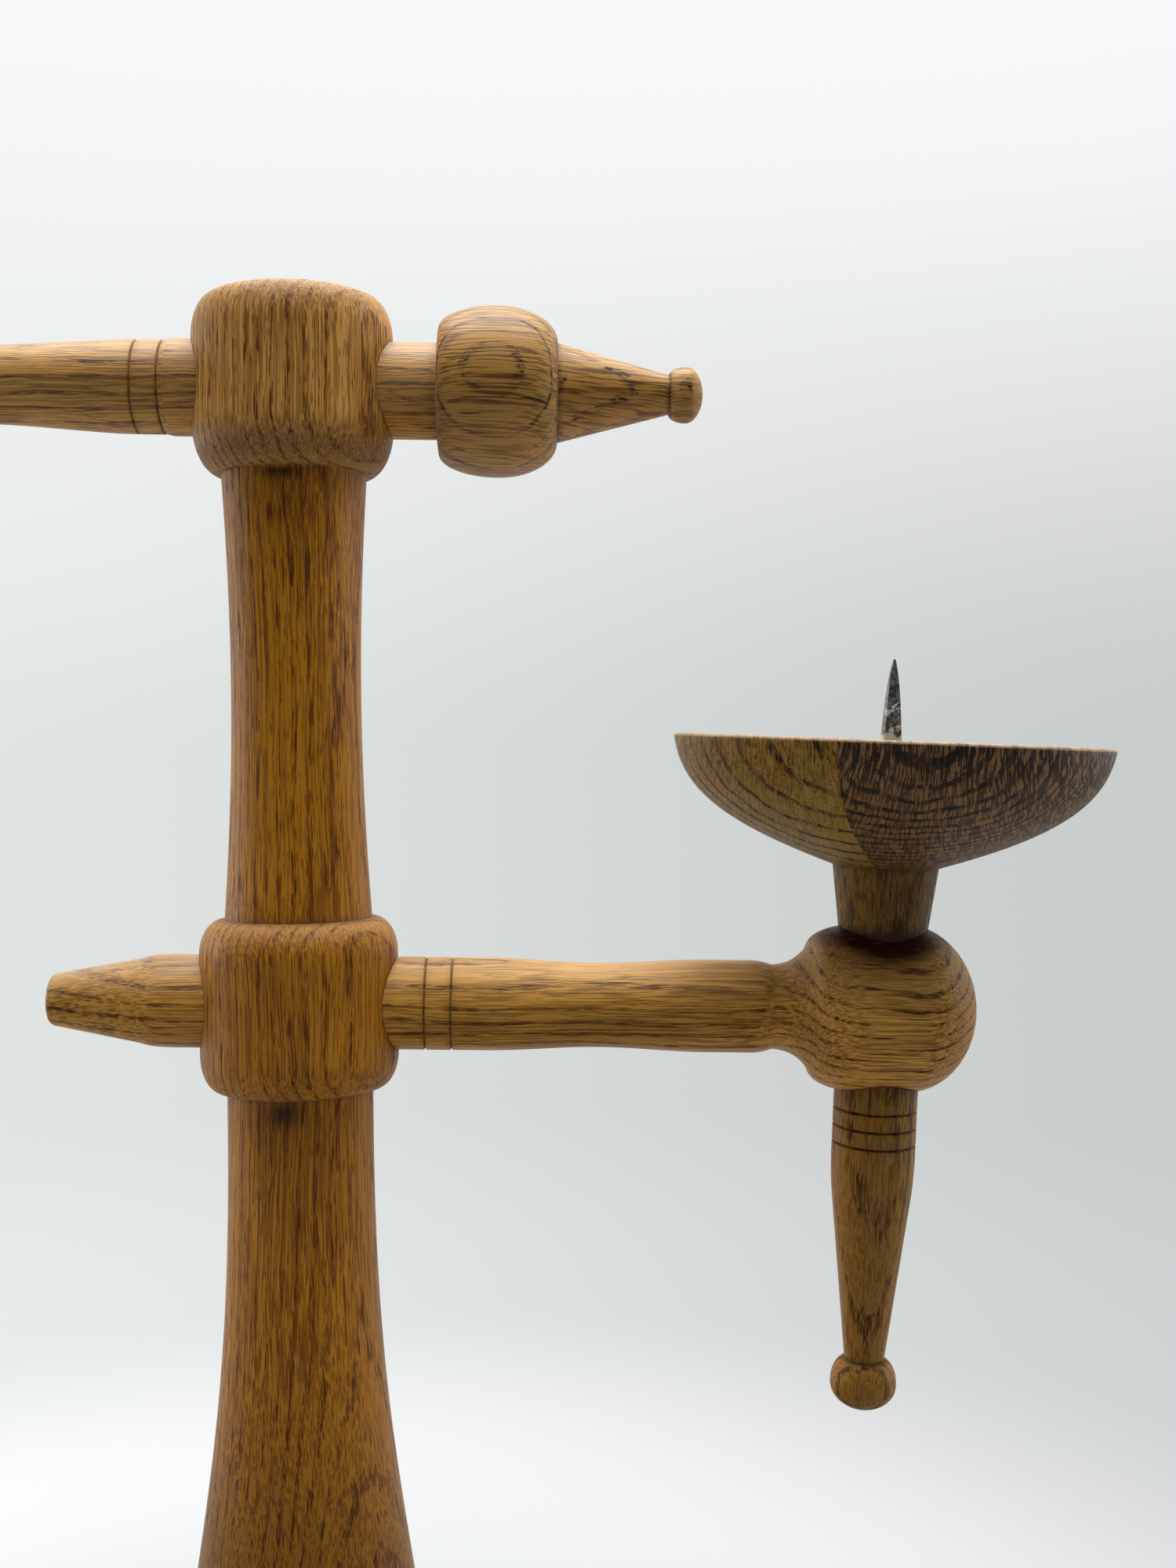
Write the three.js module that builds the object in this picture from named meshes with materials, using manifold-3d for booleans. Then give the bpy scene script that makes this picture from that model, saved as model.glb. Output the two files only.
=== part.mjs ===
// A turned oak candle holder with two arms: a flared column on a round foot,
// a long arm through each of its two bored hubs, and at the end of each arm
// a dish with an iron spike, dropped into the arm by its own turned stem.
// Millimetres, +Z up, +X along the arms to the right, -Y towards the viewer.
// The origin is the middle of the underside, on the surface that it stands on.

import * as THREE from 'three';
import { mergeVertices } from 'three/addons/utils/BufferGeometryUtils.js';
import Module from 'manifold-3d';

const wasm = await Module();
wasm.setup();

// Clearances
const boreGap = 0.3;
const seatGap = 0.3;

// Heights of the arms' axes above the table, at the column
const upperArmHeight = 371.3;
const lowerArmHeight = 218.5;

// The holes in the column are not quite level, and the lower arm is turned a
// little to the front, with its stem hole a little out of square. Degrees.
const upperArmDroop = 1;
const lowerArmDroop = 1.33;
const lowerArmTurn = 1.26;
const lowerCupLean = 1.33;

// Round foot with its felt
const feltThickness = 1.6;
const feltRadius = 69;
const baseRadius = 76;
const baseThickness = 26;
const baseTopRoundWidth = 11;
const baseTopRoundHeight = 10;
const baseLowerRound = 4;
const baseTopRise = 1.2;

// Column: flared post, two hubs, tenon into the foot
const footRadius = 33.6;
const footEdge = 2;
const flareLeanHeight = 60;
const flareLeanIn = 7.8;
const flareLength = 83.2;
const lowerPostRadius = 18;
const straightBelowHub = 10;
const lowerHubRadius = 24.5;
const lowerHubHeight = 42.2;
const lowerHubBottomRadius = 19.9;
const lowerHubTopRadius = 18.8;
const lowerHubRoundHeight = 8.7;
const middlePostFootRadius = 18.2;
const middlePostTopRadius = 17.9;
const waistPullRadius = 15.35;
const waistHalfLength = 15.3;
const upperHubRadius = 24.8;
const upperHubHeight = 43.5;
const upperHubBottomRadius = 18;
const upperHubTopRadius = 20;
const upperHubLowerRoundHeight = 12.6;
const upperHubUpperRoundHeight = 9.3;
const hubTopRise = 1;
const tenonRadius = 11;
const tenonLength = 16;

// Screw from below, through the foot and into the tenon
const screwShankRadius = 2.2;
const screwHeadRadius = 4.6;
const screwHeadHeight = 3.2;
const screwLength = 38;
const screwPointLength = 6.6;
const screwHeadDepth = 2.4;
const driveWidth = 3;
const driveDepth = 1.8;

// Both arms, measured along the arm from the column's axis
const armReach = 145.8;
const firstGrooveAt = 31.6;
const secondGrooveAt = 38.1;
const armGrooveWidth = 1;
const armGrooveDepth = 0.6;
const armWaistEase = 9.5;
const armNeckRadius = 10.6;
const armNeckToHub = 4.4;
const armNeckLead = 5;
const candleHubRadius = 21.05;
const candleHubInward = 23.3;
const candleHubOutward = 23.95;
const filletPull = 1.6;
const filletLength = 5.25;
const filletRadius = 15.8;
const candleHubInnerRound = 13.1;
const candleHubOuterRound = 14.1;

// Lower arm, with its blunt tail
const lowerArmRadius = 11.55;
const lowerWaistRadius = 10.5;
const lowerWaistStart = 47;
const lowerWaistEnd = 102;
const tailLength = 61.7;
const tailConeLength = 31.1;
const tailShoulderLength = 8.4;
const tailShoulderRadius = 10.55;
const tailShoulderEase = 2.8;
const tailTipRadius = 6.6;
const tailTipRound = 2;

// Upper arm, a little thinner outside the column than inside it
const upperArmRadius = 11.9;
const upperOuterRadius = 11.5;
const upperWaistRadius = 9.6;
const upperWaistStart = 39.2;
const upperWaistEnd = 111;

// Cap on the right end of the upper arm: bead, cone and button
const capFaceAt = 36.2;
const capTenonRadius = 8.5;
const capTenonLength = 20;
const beadRadius = 21;
const beadLength = 29.3;
const beadWidestAt = 14.5;
const beadFaceRadius = 15.4;
const coneBaseRadius = 12.2;
const coneLength = 27.9;
const coneTipRadius = 4.85;
const buttonRadius = 6.9;
const buttonLength = 8.5;

// Cup: dish, neck, stem and knob in one turning
const dishRadius = 54.5;
const dishHeight = 31.6;
const dishUnderRadius = 40.4;
const dishUnderRise = 9.1;
const dishSideRadius = 52.1;
const dishSideRise = 16.9;
const dishLipWidth = 3.6;
const dishEdgeRound = 0.9;
const dishHollowDepth = 13.4;
const hollowWallRadius = 48.4;
const hollowWallDepth = 9.6;
const hollowFloorRadius = 45.2;
const dishFloorRadius = 38;
const neckTopRadius = 13.25;
const neckSeatRadius = 11.3;
const neckLength = 14.9;
const stemRadius = 10.5;
const stemGrooveFromHub = 4.35;
const stemGrooveSpacing = 4.35;
const stemGrooveCount = 3;
const stemGrooveWidth = 0.9;
const stemGrooveDepth = 0.5;
const stemStraightBelowHub = 15.9;
const stemBendLength = 12.2;
const stemBendDrop = 0.75;
const stemTaperLength = 40.6;
const stemTipRadius = 5;
const knobRadius = 8.35;
const knobHeight = 12.6;
const knobWidestAt = 6.2;

// Square iron spike, driven into the dish
const spikeWidth = 4.8;
const spikeAboveRim = 20.4;
const spikeTipWidth = 0.5;
const spikeSwellWidth = 3.5;
const spikeSwellRise = 14.5;
const spikeShankDepth = 12;
const spikeShankTipWidth = 3.4;

// Facets round each turning
const columnSides = 32;
const baseSides = 40;
const armSides = 24;
const cupSides = 28;
const screwSides = 12;
const curveSteps = 5;

const oak = new THREE.Color('#b98a52');
const oakDark = new THREE.Color('#a87a45');
const iron = new THREE.Color('#55555a');
const steel = new THREE.Color('#b9bcc0');
const felt = new THREE.Color('#4a5a48');

const degrees = Math.PI / 180;

// Places that follow from the sizes above
const baseBottom = feltThickness + seatGap;
const baseTop = baseBottom + baseThickness;
const footHeight = baseTop + seatGap;
const lowerHubBottom = lowerArmHeight - lowerHubHeight / 2;
const lowerHubTop = lowerArmHeight + lowerHubHeight / 2;
const upperHubBottom = upperArmHeight - upperHubHeight / 2;
const upperHubTop = upperArmHeight + upperHubHeight / 2;
const candleHubStart = armReach - candleHubInward;
const candleHubEnd = armReach + candleHubOutward;
const neckTop = candleHubRadius + neckLength;
const neckTaper = (neckTopRadius - neckSeatRadius) / neckLength;
const neckEnd = candleHubRadius - (neckSeatRadius - stemRadius) / neckTaper;
const dishRim = neckTop + dishHeight;
const dishFloor = dishRim - dishHollowDepth;

// A turned solid about the Z axis from a profile of (radius, height) points
function turned(profile, sides) {
  const points = profile.getPoints(curveSteps);
  const geometry = new THREE.LatheGeometry(points, sides);
  geometry.rotateX(Math.PI / 2);
  return geometry;
}

// The closed body of a geometry, with shared corners merged
function solid(geometry) {
  const bare = geometry.index ? geometry.toNonIndexed() : geometry.clone();
  bare.deleteAttribute('normal');
  bare.deleteAttribute('uv');
  const merged = mergeVertices(bare, 1e-4);
  const index = merged.index.array;
  const kept = [];
  for (let i = 0; i < index.length; i += 3) {
    const [a, b, c] = [index[i], index[i + 1], index[i + 2]];
    if (a !== b && b !== c && c !== a) kept.push(a, b, c);
  }
  return new wasm.Manifold(new wasm.Mesh({
    numProp: 3,
    vertProperties: new Float32Array(merged.attributes.position.array),
    triVerts: new Uint32Array(kept),
  }));
}

// A mesh of a body, with flat facets
function piece(name, body, color, roughness, metalness) {
  const shape = body.getMesh();
  const geometry = new THREE.BufferGeometry();
  geometry.setAttribute('position', new THREE.BufferAttribute(new Float32Array(shape.vertProperties), 3));
  geometry.setIndex(new THREE.BufferAttribute(new Uint32Array(shape.triVerts), 1));
  geometry.computeVertexNormals();
  const material = new THREE.MeshStandardMaterial({ color, roughness, metalness });
  const mesh = new THREE.Mesh(geometry, material);
  mesh.name = name;
  return mesh;
}

// A straight hole: a cylinder along Z from one height to another
function hole(radius, from, to, sides) {
  const geometry = new THREE.CylinderGeometry(radius, radius, to - from, sides);
  geometry.rotateX(Math.PI / 2);
  geometry.translate(0, 0, (from + to) / 2);
  return geometry;
}

// A V-groove cut into a straight stretch, met at its middle
function groove(profile, radius, at, width, depth) {
  profile.lineTo(radius, at - width / 2);
  profile.lineTo(radius - depth, at);
  profile.lineTo(radius, at + width / 2);
}

// A rounded shoulder: a quarter of an ellipse, bulging outwards
function shoulder(profile, fromRadius, fromHeight, toRadius, toHeight, flatFirst) {
  const bulge = 0.5523;
  const [dr, dh] = [toRadius - fromRadius, toHeight - fromHeight];
  if (flatFirst) {
    profile.bezierCurveTo(
      fromRadius + bulge * dr, fromHeight,
      toRadius, toHeight - bulge * dh,
      toRadius, toHeight,
    );
  } else {
    profile.bezierCurveTo(
      fromRadius, fromHeight + bulge * dh,
      toRadius - bulge * dr, toHeight,
      toRadius, toHeight,
    );
  }
}

// Column: one turning from the tenon in the foot to the rounded top
function columnBody() {
  const profile = new THREE.Path();
  profile.moveTo(0, footHeight - tenonLength);
  profile.lineTo(tenonRadius, footHeight - tenonLength);
  profile.lineTo(tenonRadius, footHeight);
  profile.lineTo(footRadius - footEdge, footHeight);
  profile.lineTo(footRadius, footHeight + footEdge);
  const flareFoot = footHeight + footEdge;
  profile.bezierCurveTo(
    footRadius - flareLeanIn, flareFoot + flareLeanHeight,
    lowerPostRadius, flareFoot + flareLength,
    lowerPostRadius, lowerHubBottom - straightBelowHub,
  );
  profile.lineTo(lowerPostRadius, lowerHubBottom);
  profile.lineTo(lowerHubBottomRadius, lowerHubBottom);
  shoulder(
    profile, lowerHubBottomRadius, lowerHubBottom,
    lowerHubRadius, lowerHubBottom + lowerHubRoundHeight, true,
  );
  profile.lineTo(lowerHubRadius, lowerHubTop - lowerHubRoundHeight);
  shoulder(
    profile, lowerHubRadius, lowerHubTop - lowerHubRoundHeight,
    lowerHubTopRadius, lowerHubTop, false,
  );
  profile.lineTo(middlePostFootRadius, lowerHubTop);
  const waistAt = (lowerHubTop + upperHubBottom) / 2;
  profile.bezierCurveTo(
    waistPullRadius, waistAt - waistHalfLength,
    waistPullRadius, waistAt + waistHalfLength,
    middlePostTopRadius, upperHubBottom,
  );
  profile.lineTo(upperHubBottomRadius, upperHubBottom);
  shoulder(
    profile, upperHubBottomRadius, upperHubBottom,
    upperHubRadius, upperHubBottom + upperHubLowerRoundHeight, true,
  );
  profile.lineTo(upperHubRadius, upperHubTop - upperHubUpperRoundHeight);
  shoulder(
    profile, upperHubRadius, upperHubTop - upperHubUpperRoundHeight,
    upperHubTopRadius, upperHubTop, false,
  );
  profile.quadraticCurveTo(upperHubTopRadius / 2, upperHubTop + hubTopRise, 0, upperHubTop + hubTopRise);
  return solid(turned(profile, columnSides));
}

// The hole that an arm passes through, along the arm's own axis
function armHole(radius, height, droop) {
  const cut = hole(radius + boreGap, -2 * upperHubRadius, 2 * upperHubRadius, armSides);
  cut.rotateY(Math.PI / 2);
  cut.rotateY(droop * degrees);
  cut.translate(0, 0, height);
  return solid(cut);
}

const screwHeadBottom = baseBottom + screwHeadDepth;
const screwTip = screwHeadBottom + screwLength;

let columnSolid = columnBody();
columnSolid = columnSolid.subtract(armHole(upperArmRadius, upperArmHeight, upperArmDroop));
columnSolid = columnSolid.subtract(armHole(lowerArmRadius, lowerArmHeight, lowerArmDroop));
columnSolid = columnSolid.subtract(
  solid(hole(screwShankRadius + boreGap, footHeight - tenonLength - 1, screwTip + seatGap, screwSides)),
);
const column = piece('column', columnSolid, oak, 0.5, 0);

// Round foot: a rounded disc with a socket for the tenon above and a
// countersunk hole for the screw below
const baseProfile = new THREE.Path();
baseProfile.moveTo(0, baseBottom);
baseProfile.lineTo(baseRadius - baseLowerRound, baseBottom);
shoulder(baseProfile, baseRadius - baseLowerRound, baseBottom, baseRadius, baseBottom + baseLowerRound, true);
const baseRoundStart = baseTop - baseTopRise - baseTopRoundHeight;
const baseRoundEnd = baseRadius - baseTopRoundWidth;
baseProfile.lineTo(baseRadius, baseRoundStart);
shoulder(baseProfile, baseRadius, baseRoundStart, baseRoundEnd, baseTop - baseTopRise, false);
baseProfile.lineTo(footRadius, baseTop);
baseProfile.lineTo(0, baseTop);
let baseSolid = solid(turned(baseProfile, baseSides));
baseSolid = baseSolid.subtract(
  solid(hole(tenonRadius + boreGap, footHeight - tenonLength - seatGap, baseTop + 1, columnSides)),
);
baseSolid = baseSolid.subtract(
  solid(hole(screwShankRadius + boreGap, baseBottom - 1, footHeight - tenonLength, screwSides)),
);
const sinkTop = screwHeadBottom + screwHeadHeight + seatGap;
const sinkProfile = new THREE.Path();
sinkProfile.moveTo(0, baseBottom - 1);
sinkProfile.lineTo(screwHeadRadius + boreGap, baseBottom - 1);
sinkProfile.lineTo(screwHeadRadius + boreGap, screwHeadBottom + seatGap);
sinkProfile.lineTo(screwShankRadius + boreGap, sinkTop);
sinkProfile.lineTo(0, sinkTop);
baseSolid = baseSolid.subtract(solid(turned(sinkProfile, screwSides)));
const baseDisc = piece('base_disc', baseSolid, oak, 0.5, 0);

// Countersunk wood screw, its thread drawn as a plain shank
const screwProfile = new THREE.Path();
screwProfile.moveTo(0, screwHeadBottom);
screwProfile.lineTo(screwHeadRadius, screwHeadBottom);
screwProfile.lineTo(screwShankRadius, screwHeadBottom + screwHeadHeight);
screwProfile.lineTo(screwShankRadius, screwTip - screwPointLength);
screwProfile.lineTo(0, screwTip);
const drive = new THREE.BoxGeometry(driveWidth, driveWidth, 2 * driveDepth);
drive.translate(0, 0, screwHeadBottom);
const screwSolid = solid(turned(screwProfile, screwSides)).subtract(solid(drive));
const baseScrew = piece('base_screw', screwSolid, steel, 0.35, 1);

// Felt disc glued under the foot
const feltSolid = solid(hole(feltRadius, 0, feltThickness, baseSides));
const baseFelt = piece('base_felt', feltSolid, felt, 0.95, 0);

// The stretch of an arm that both arms share, from its two grooves to the
// candle hub at its end, as heights along the arm
function armOuterEnd(profile, radius, waistRadius, waistStart, waistEnd) {
  const neckAt = candleHubStart - armNeckToHub;
  const waistAt = (waistStart + waistEnd) / 2;
  groove(profile, radius, firstGrooveAt, armGrooveWidth, armGrooveDepth);
  groove(profile, radius, secondGrooveAt, armGrooveWidth, armGrooveDepth);
  profile.lineTo(radius, waistStart);
  profile.bezierCurveTo(radius, waistStart + armWaistEase, waistRadius, waistAt - armWaistEase, waistRadius, waistAt);
  profile.bezierCurveTo(waistRadius, waistAt + armWaistEase, radius, waistEnd - armWaistEase, radius, waistEnd);
  profile.lineTo(radius, neckAt - armNeckLead);
  profile.quadraticCurveTo(radius, neckAt - armNeckLead / 2, armNeckRadius, neckAt);
  const filletEnd = candleHubStart + filletLength;
  profile.quadraticCurveTo(armNeckRadius, candleHubStart + filletPull, filletRadius, filletEnd);
  shoulder(profile, filletRadius, filletEnd, candleHubRadius, filletEnd + candleHubInnerRound, true);
  profile.lineTo(candleHubRadius, candleHubEnd - candleHubOuterRound);
  shoulder(profile, candleHubRadius, candleHubEnd - candleHubOuterRound, 0, candleHubEnd, false);
}

// The stem hole through a candle hub: straight, with a tapered mouth for the neck
function stemHole() {
  const profile = new THREE.Path();
  const depth = candleHubRadius + stemRadius;
  profile.moveTo(0, -depth);
  profile.lineTo(stemRadius + boreGap, -depth);
  profile.lineTo(stemRadius + boreGap, neckEnd);
  profile.lineTo(neckTopRadius + boreGap, neckTop);
  profile.lineTo(0, neckTop);
  return turned(profile, armSides);
}

// An arm lies along +X from the column's axis, with its candle hub at the end
function alongArm(profile) {
  const geometry = turned(profile, armSides);
  geometry.rotateY(Math.PI / 2);
  return solid(geometry);
}

// Lower arm: a blunt cone to the left of the column, the candle hub to the right
const lowerArmProfile = new THREE.Path();
lowerArmProfile.moveTo(0, -tailLength);
lowerArmProfile.lineTo(tailTipRadius - tailTipRound, -tailLength);
shoulder(
  lowerArmProfile, tailTipRadius - tailTipRound, -tailLength,
  tailTipRadius, -tailLength + tailTipRound, true,
);
const tailShoulderStart = -tailLength + tailConeLength - tailShoulderLength;
lowerArmProfile.lineTo(tailShoulderRadius, tailShoulderStart);
lowerArmProfile.quadraticCurveTo(
  lowerArmRadius, tailShoulderStart + tailShoulderEase,
  lowerArmRadius, tailShoulderStart + tailShoulderLength,
);
armOuterEnd(lowerArmProfile, lowerArmRadius, lowerWaistRadius, lowerWaistStart, lowerWaistEnd);
const lowerStemHole = stemHole();
lowerStemHole.rotateY(lowerCupLean * degrees);
lowerStemHole.translate(armReach, 0, 0);
const lowerArmSolid = alongArm(lowerArmProfile).subtract(solid(lowerStemHole));
const lowerArm = piece('lower_arm', lowerArmSolid, oakDark, 0.5, 0);

// Upper arm: plain to the right, with a tenon for the cap, and its candle hub
// to the left
const upperArmProfile = new THREE.Path();
upperArmProfile.moveTo(0, -capFaceAt - capTenonLength);
upperArmProfile.lineTo(capTenonRadius, -capFaceAt - capTenonLength);
upperArmProfile.lineTo(capTenonRadius, -capFaceAt);
upperArmProfile.lineTo(upperArmRadius, -capFaceAt);
upperArmProfile.lineTo(upperArmRadius, firstGrooveAt - armGrooveWidth);
armOuterEnd(upperArmProfile, upperOuterRadius, upperWaistRadius, upperWaistStart, upperWaistEnd);
const upperStemHole = stemHole();
upperStemHole.translate(armReach, 0, 0);
const upperArmSolid = alongArm(upperArmProfile)
  .subtract(solid(upperStemHole))
  .rotate([0, 0, 180]);
const upperArm = piece('upper_arm', upperArmSolid, oak, 0.5, 0);

// Cap: a bead, a cone and a button in one turning, with a blind socket
const capStart = capFaceAt + seatGap;
const socketEnd = capFaceAt + capTenonLength + seatGap;
const coneStart = capStart + beadLength;
const coneEnd = coneStart + coneLength;
const buttonWidestAt = coneEnd + buttonLength / 2;
const capProfile = new THREE.Path();
capProfile.moveTo(0, socketEnd);
capProfile.lineTo(capTenonRadius + boreGap, socketEnd);
capProfile.lineTo(capTenonRadius + boreGap, capStart);
capProfile.lineTo(beadFaceRadius, capStart);
shoulder(capProfile, beadFaceRadius, capStart, beadRadius, capStart + beadWidestAt, true);
shoulder(capProfile, beadRadius, capStart + beadWidestAt, coneBaseRadius, coneStart, false);
capProfile.lineTo(coneTipRadius, coneEnd);
shoulder(capProfile, coneTipRadius, coneEnd, buttonRadius, buttonWidestAt, true);
shoulder(capProfile, buttonRadius, buttonWidestAt, 0, coneEnd + buttonLength, false);
const upperArmCap = piece('upper_arm_cap', alongArm(capProfile), oak, 0.5, 0);

// Square spike: a long point above the dish, a shank sunk in its floor
function spikeBody(clearance) {
  const toCorner = Math.SQRT1_2;
  const corner = (width) => (width + 2 * clearance) * toCorner;
  const shankEnd = dishFloor - spikeShankDepth - clearance;
  const profile = new THREE.Path();
  profile.moveTo(0, shankEnd);
  profile.lineTo(corner(spikeShankTipWidth), shankEnd);
  profile.lineTo(corner(spikeWidth), dishFloor);
  profile.lineTo(corner(spikeWidth), dishRim);
  profile.quadraticCurveTo(
    corner(spikeSwellWidth), dishRim + spikeSwellRise,
    corner(spikeTipWidth), dishRim + spikeAboveRim,
  );
  profile.lineTo(0, dishRim + spikeAboveRim);
  const geometry = turned(profile, 4);
  geometry.rotateZ(Math.PI / 4);
  return solid(geometry);
}

// Cup: a shallow dish on a tapered neck, a grooved stem and a knob
function cupBody() {
  const profile = new THREE.Path();
  const hubBottom = -candleHubRadius;
  const bendStart = hubBottom - stemStraightBelowHub;
  const bendEnd = bendStart - stemBendLength;
  const knobTop = bendEnd - stemTaperLength;
  profile.moveTo(0, knobTop - knobHeight);
  shoulder(profile, 0, knobTop - knobHeight, knobRadius, knobTop - knobWidestAt, true);
  shoulder(profile, knobRadius, knobTop - knobWidestAt, stemTipRadius, knobTop, false);
  profile.lineTo(stemRadius - stemBendDrop, bendEnd);
  profile.quadraticCurveTo(stemRadius, (bendStart + bendEnd) / 2, stemRadius, bendStart);
  for (let i = stemGrooveCount - 1; i >= 0; i -= 1) {
    const at = hubBottom - stemGrooveFromHub - i * stemGrooveSpacing;
    groove(profile, stemRadius, at, stemGrooveWidth, stemGrooveDepth);
  }
  profile.lineTo(stemRadius, neckEnd);
  profile.lineTo(neckTopRadius, neckTop);
  const rimSide = dishRim - dishEdgeRound;
  profile.bezierCurveTo(
    dishUnderRadius, neckTop + dishUnderRise,
    dishSideRadius, neckTop + dishSideRise,
    dishRadius, rimSide,
  );
  profile.lineTo(dishRadius - dishEdgeRound, dishRim);
  profile.lineTo(dishRadius - dishLipWidth + dishEdgeRound, dishRim);
  profile.lineTo(dishRadius - dishLipWidth, rimSide);
  profile.bezierCurveTo(
    hollowWallRadius, dishRim - hollowWallDepth,
    hollowFloorRadius, dishFloor,
    dishFloorRadius, dishFloor,
  );
  profile.lineTo(0, dishFloor);
  return solid(turned(profile, cupSides)).subtract(spikeBody(boreGap));
}

const cupSolid = cupBody();
const spikeSolid = spikeBody(0);
const upperCup = piece('upper_cup', cupSolid, oak, 0.5, 0);
const lowerCup = piece('lower_cup', cupSolid, oakDark, 0.5, 0);
const upperSpike = piece('upper_spike', spikeSolid, iron, 0.55, 0.9);
const lowerSpike = piece('lower_spike', spikeSolid, iron, 0.55, 0.9);

// Each cup stands in its arm, and each arm lies in the column
const upperCupPlace = new THREE.Group();
upperCupPlace.position.set(-armReach, 0, 0);
upperCupPlace.add(upperCup, upperSpike);

const upperArmPlace = new THREE.Group();
upperArmPlace.position.set(0, 0, upperArmHeight);
upperArmPlace.rotation.set(0, upperArmDroop * degrees, 0);
upperArmPlace.add(upperArm, upperArmCap, upperCupPlace);

const lowerCupPlace = new THREE.Group();
lowerCupPlace.position.set(armReach, 0, 0);
lowerCupPlace.rotation.set(0, lowerCupLean * degrees, 0);
lowerCupPlace.add(lowerCup, lowerSpike);

const lowerArmTurned = new THREE.Group();
lowerArmTurned.rotation.set(lowerArmTurn * degrees, 0, 0);
lowerArmTurned.add(lowerArm, lowerCupPlace);

const lowerArmPlace = new THREE.Group();
lowerArmPlace.position.set(0, 0, lowerArmHeight);
lowerArmPlace.rotation.set(0, lowerArmDroop * degrees, 0);
lowerArmPlace.add(lowerArmTurned);

const group = new THREE.Group();
group.add(column, baseDisc, baseScrew, baseFelt, upperArmPlace, lowerArmPlace);

export default group;
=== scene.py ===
"""A turned oak candle holder with two through arms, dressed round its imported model."""

import math

import bmesh
import bpy
import numpy as np
from mathutils import Matrix, Vector


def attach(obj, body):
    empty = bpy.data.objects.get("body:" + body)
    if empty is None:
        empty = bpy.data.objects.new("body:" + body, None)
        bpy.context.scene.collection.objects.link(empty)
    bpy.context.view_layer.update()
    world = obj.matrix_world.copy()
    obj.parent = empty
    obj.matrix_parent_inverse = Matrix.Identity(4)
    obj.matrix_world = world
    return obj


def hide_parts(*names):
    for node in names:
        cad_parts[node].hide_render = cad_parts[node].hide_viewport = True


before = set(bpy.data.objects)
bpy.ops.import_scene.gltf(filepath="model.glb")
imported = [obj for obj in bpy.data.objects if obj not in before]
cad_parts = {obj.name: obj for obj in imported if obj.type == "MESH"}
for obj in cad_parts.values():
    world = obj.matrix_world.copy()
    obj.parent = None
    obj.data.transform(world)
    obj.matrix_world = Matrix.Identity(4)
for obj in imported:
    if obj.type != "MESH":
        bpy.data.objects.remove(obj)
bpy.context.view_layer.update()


# Camera: a phone held close, level with the lower dish, about 0.42 m in front
# of the column and a little to its right, turned a little to the left.
CAMERA_PLACE = (0.0594, -0.4231, 0.2770)
CAMERA_RIGHT = (0.99947, -0.03123, -0.00886)
CAMERA_UP = (0.00920, 0.01079, 0.99990)
PHOTO_HEIGHT = 2000
FOCAL_PIXELS = 2150
SENSOR = 36.0
NEAREST = 0.01
FARTHEST = 50

camera_data = bpy.data.cameras.new("camera")
camera_data.sensor_width = SENSOR
camera_data.lens = FOCAL_PIXELS / PHOTO_HEIGHT * SENSOR
camera_data.clip_start = NEAREST
camera_data.clip_end = FARTHEST
camera = bpy.data.objects.new("camera", camera_data)
bpy.context.collection.objects.link(camera)
right = Vector(CAMERA_RIGHT).normalized()
up = (Vector(CAMERA_UP) - Vector(CAMERA_UP).dot(right) * right).normalized()
back = right.cross(up)
view = Matrix((right, up, back)).transposed().to_4x4()
camera.matrix_world = Matrix.Translation(CAMERA_PLACE) @ view
bpy.context.scene.camera = camera
bpy.context.scene.view_settings.view_transform = "Standard"


# Floor: one wide sheet of pale matt paper. For the camera it glows with a painted pool of light
# that is brightest round the holder and falls off to the grey of the wall far behind, under painted
# shade from left to right.
FLOOR_RADIUS = 12.0
FLOOR_SIDES = 128
PAPER_NEAR = "f9fafc"
PAPER_MIDDLE = "dfe2e3"
PAPER_FAR = "d7dbda"
PAPER_UNDER_LAMPS = "a4a6a7"
PAPER_BOUNCE = "868788"
NEAR_TO_MIDDLE = (0.20, 0.46)
MIDDLE_TO_FAR = (0.42, 1.0)
GLOW_STARTS = (0.10, 0.34)
SHADE_FROM = (0.06, -0.42, -0.25)
SHADE_LEFT = 1.10
SHADE_RIGHT = 0.85
SHADE_ACROSS = (-0.40, 0.42, SHADE_LEFT, SHADE_RIGHT)


def tint(web):
    """A web colour as linear red, green, blue and alpha."""
    parts = [int(web[i:i + 2], 16) / 255 for i in (0, 2, 4)]
    linear = (c / 12.92 if c <= 0.04045 else ((c + 0.055) / 1.055) ** 2.4 for c in parts)
    return tuple(linear) + (1.0,)


def plug(tree, value, socket):
    """Links another node's socket to a socket, or sets it to a plain value."""
    if isinstance(value, bpy.types.NodeSocket):
        tree.links.new(value, socket)
    else:
        socket.default_value = value


def add(tree, kind, **choices):
    """A new node. Small letters name its settings; capitals its sockets, with _ for spaces."""
    node = tree.nodes.new("ShaderNode" + kind)
    for name, value in choices.items():
        if name[0].islower():
            setattr(node, name, value)
        else:
            plug(tree, value, node.inputs[name.replace("_", " ")])
    return node


def reckon(tree, operation, *values, kind="Math"):
    """The answer of a Math node on up to three numbers or sockets."""
    node = add(tree, kind, operation=operation)
    for socket, value in zip(node.inputs, values):
        plug(tree, value, socket)
    return node.outputs["Value" if operation == "LENGTH" else 0]


def vectors(tree, operation, *values):
    """The answer of a Vector Math node on vectors or sockets."""
    return reckon(tree, operation, *values, kind="VectorMath")


def ease(tree, value, start, end, low=0.0, high=1.0):
    """Runs smoothly from low to high as the value goes from start to end."""
    return add(
        tree, "MapRange", interpolation_type="SMOOTHSTEP",
        Value=value, From_Min=start, From_Max=end, To_Min=low, To_Max=high,
    ).outputs["Result"]


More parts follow.
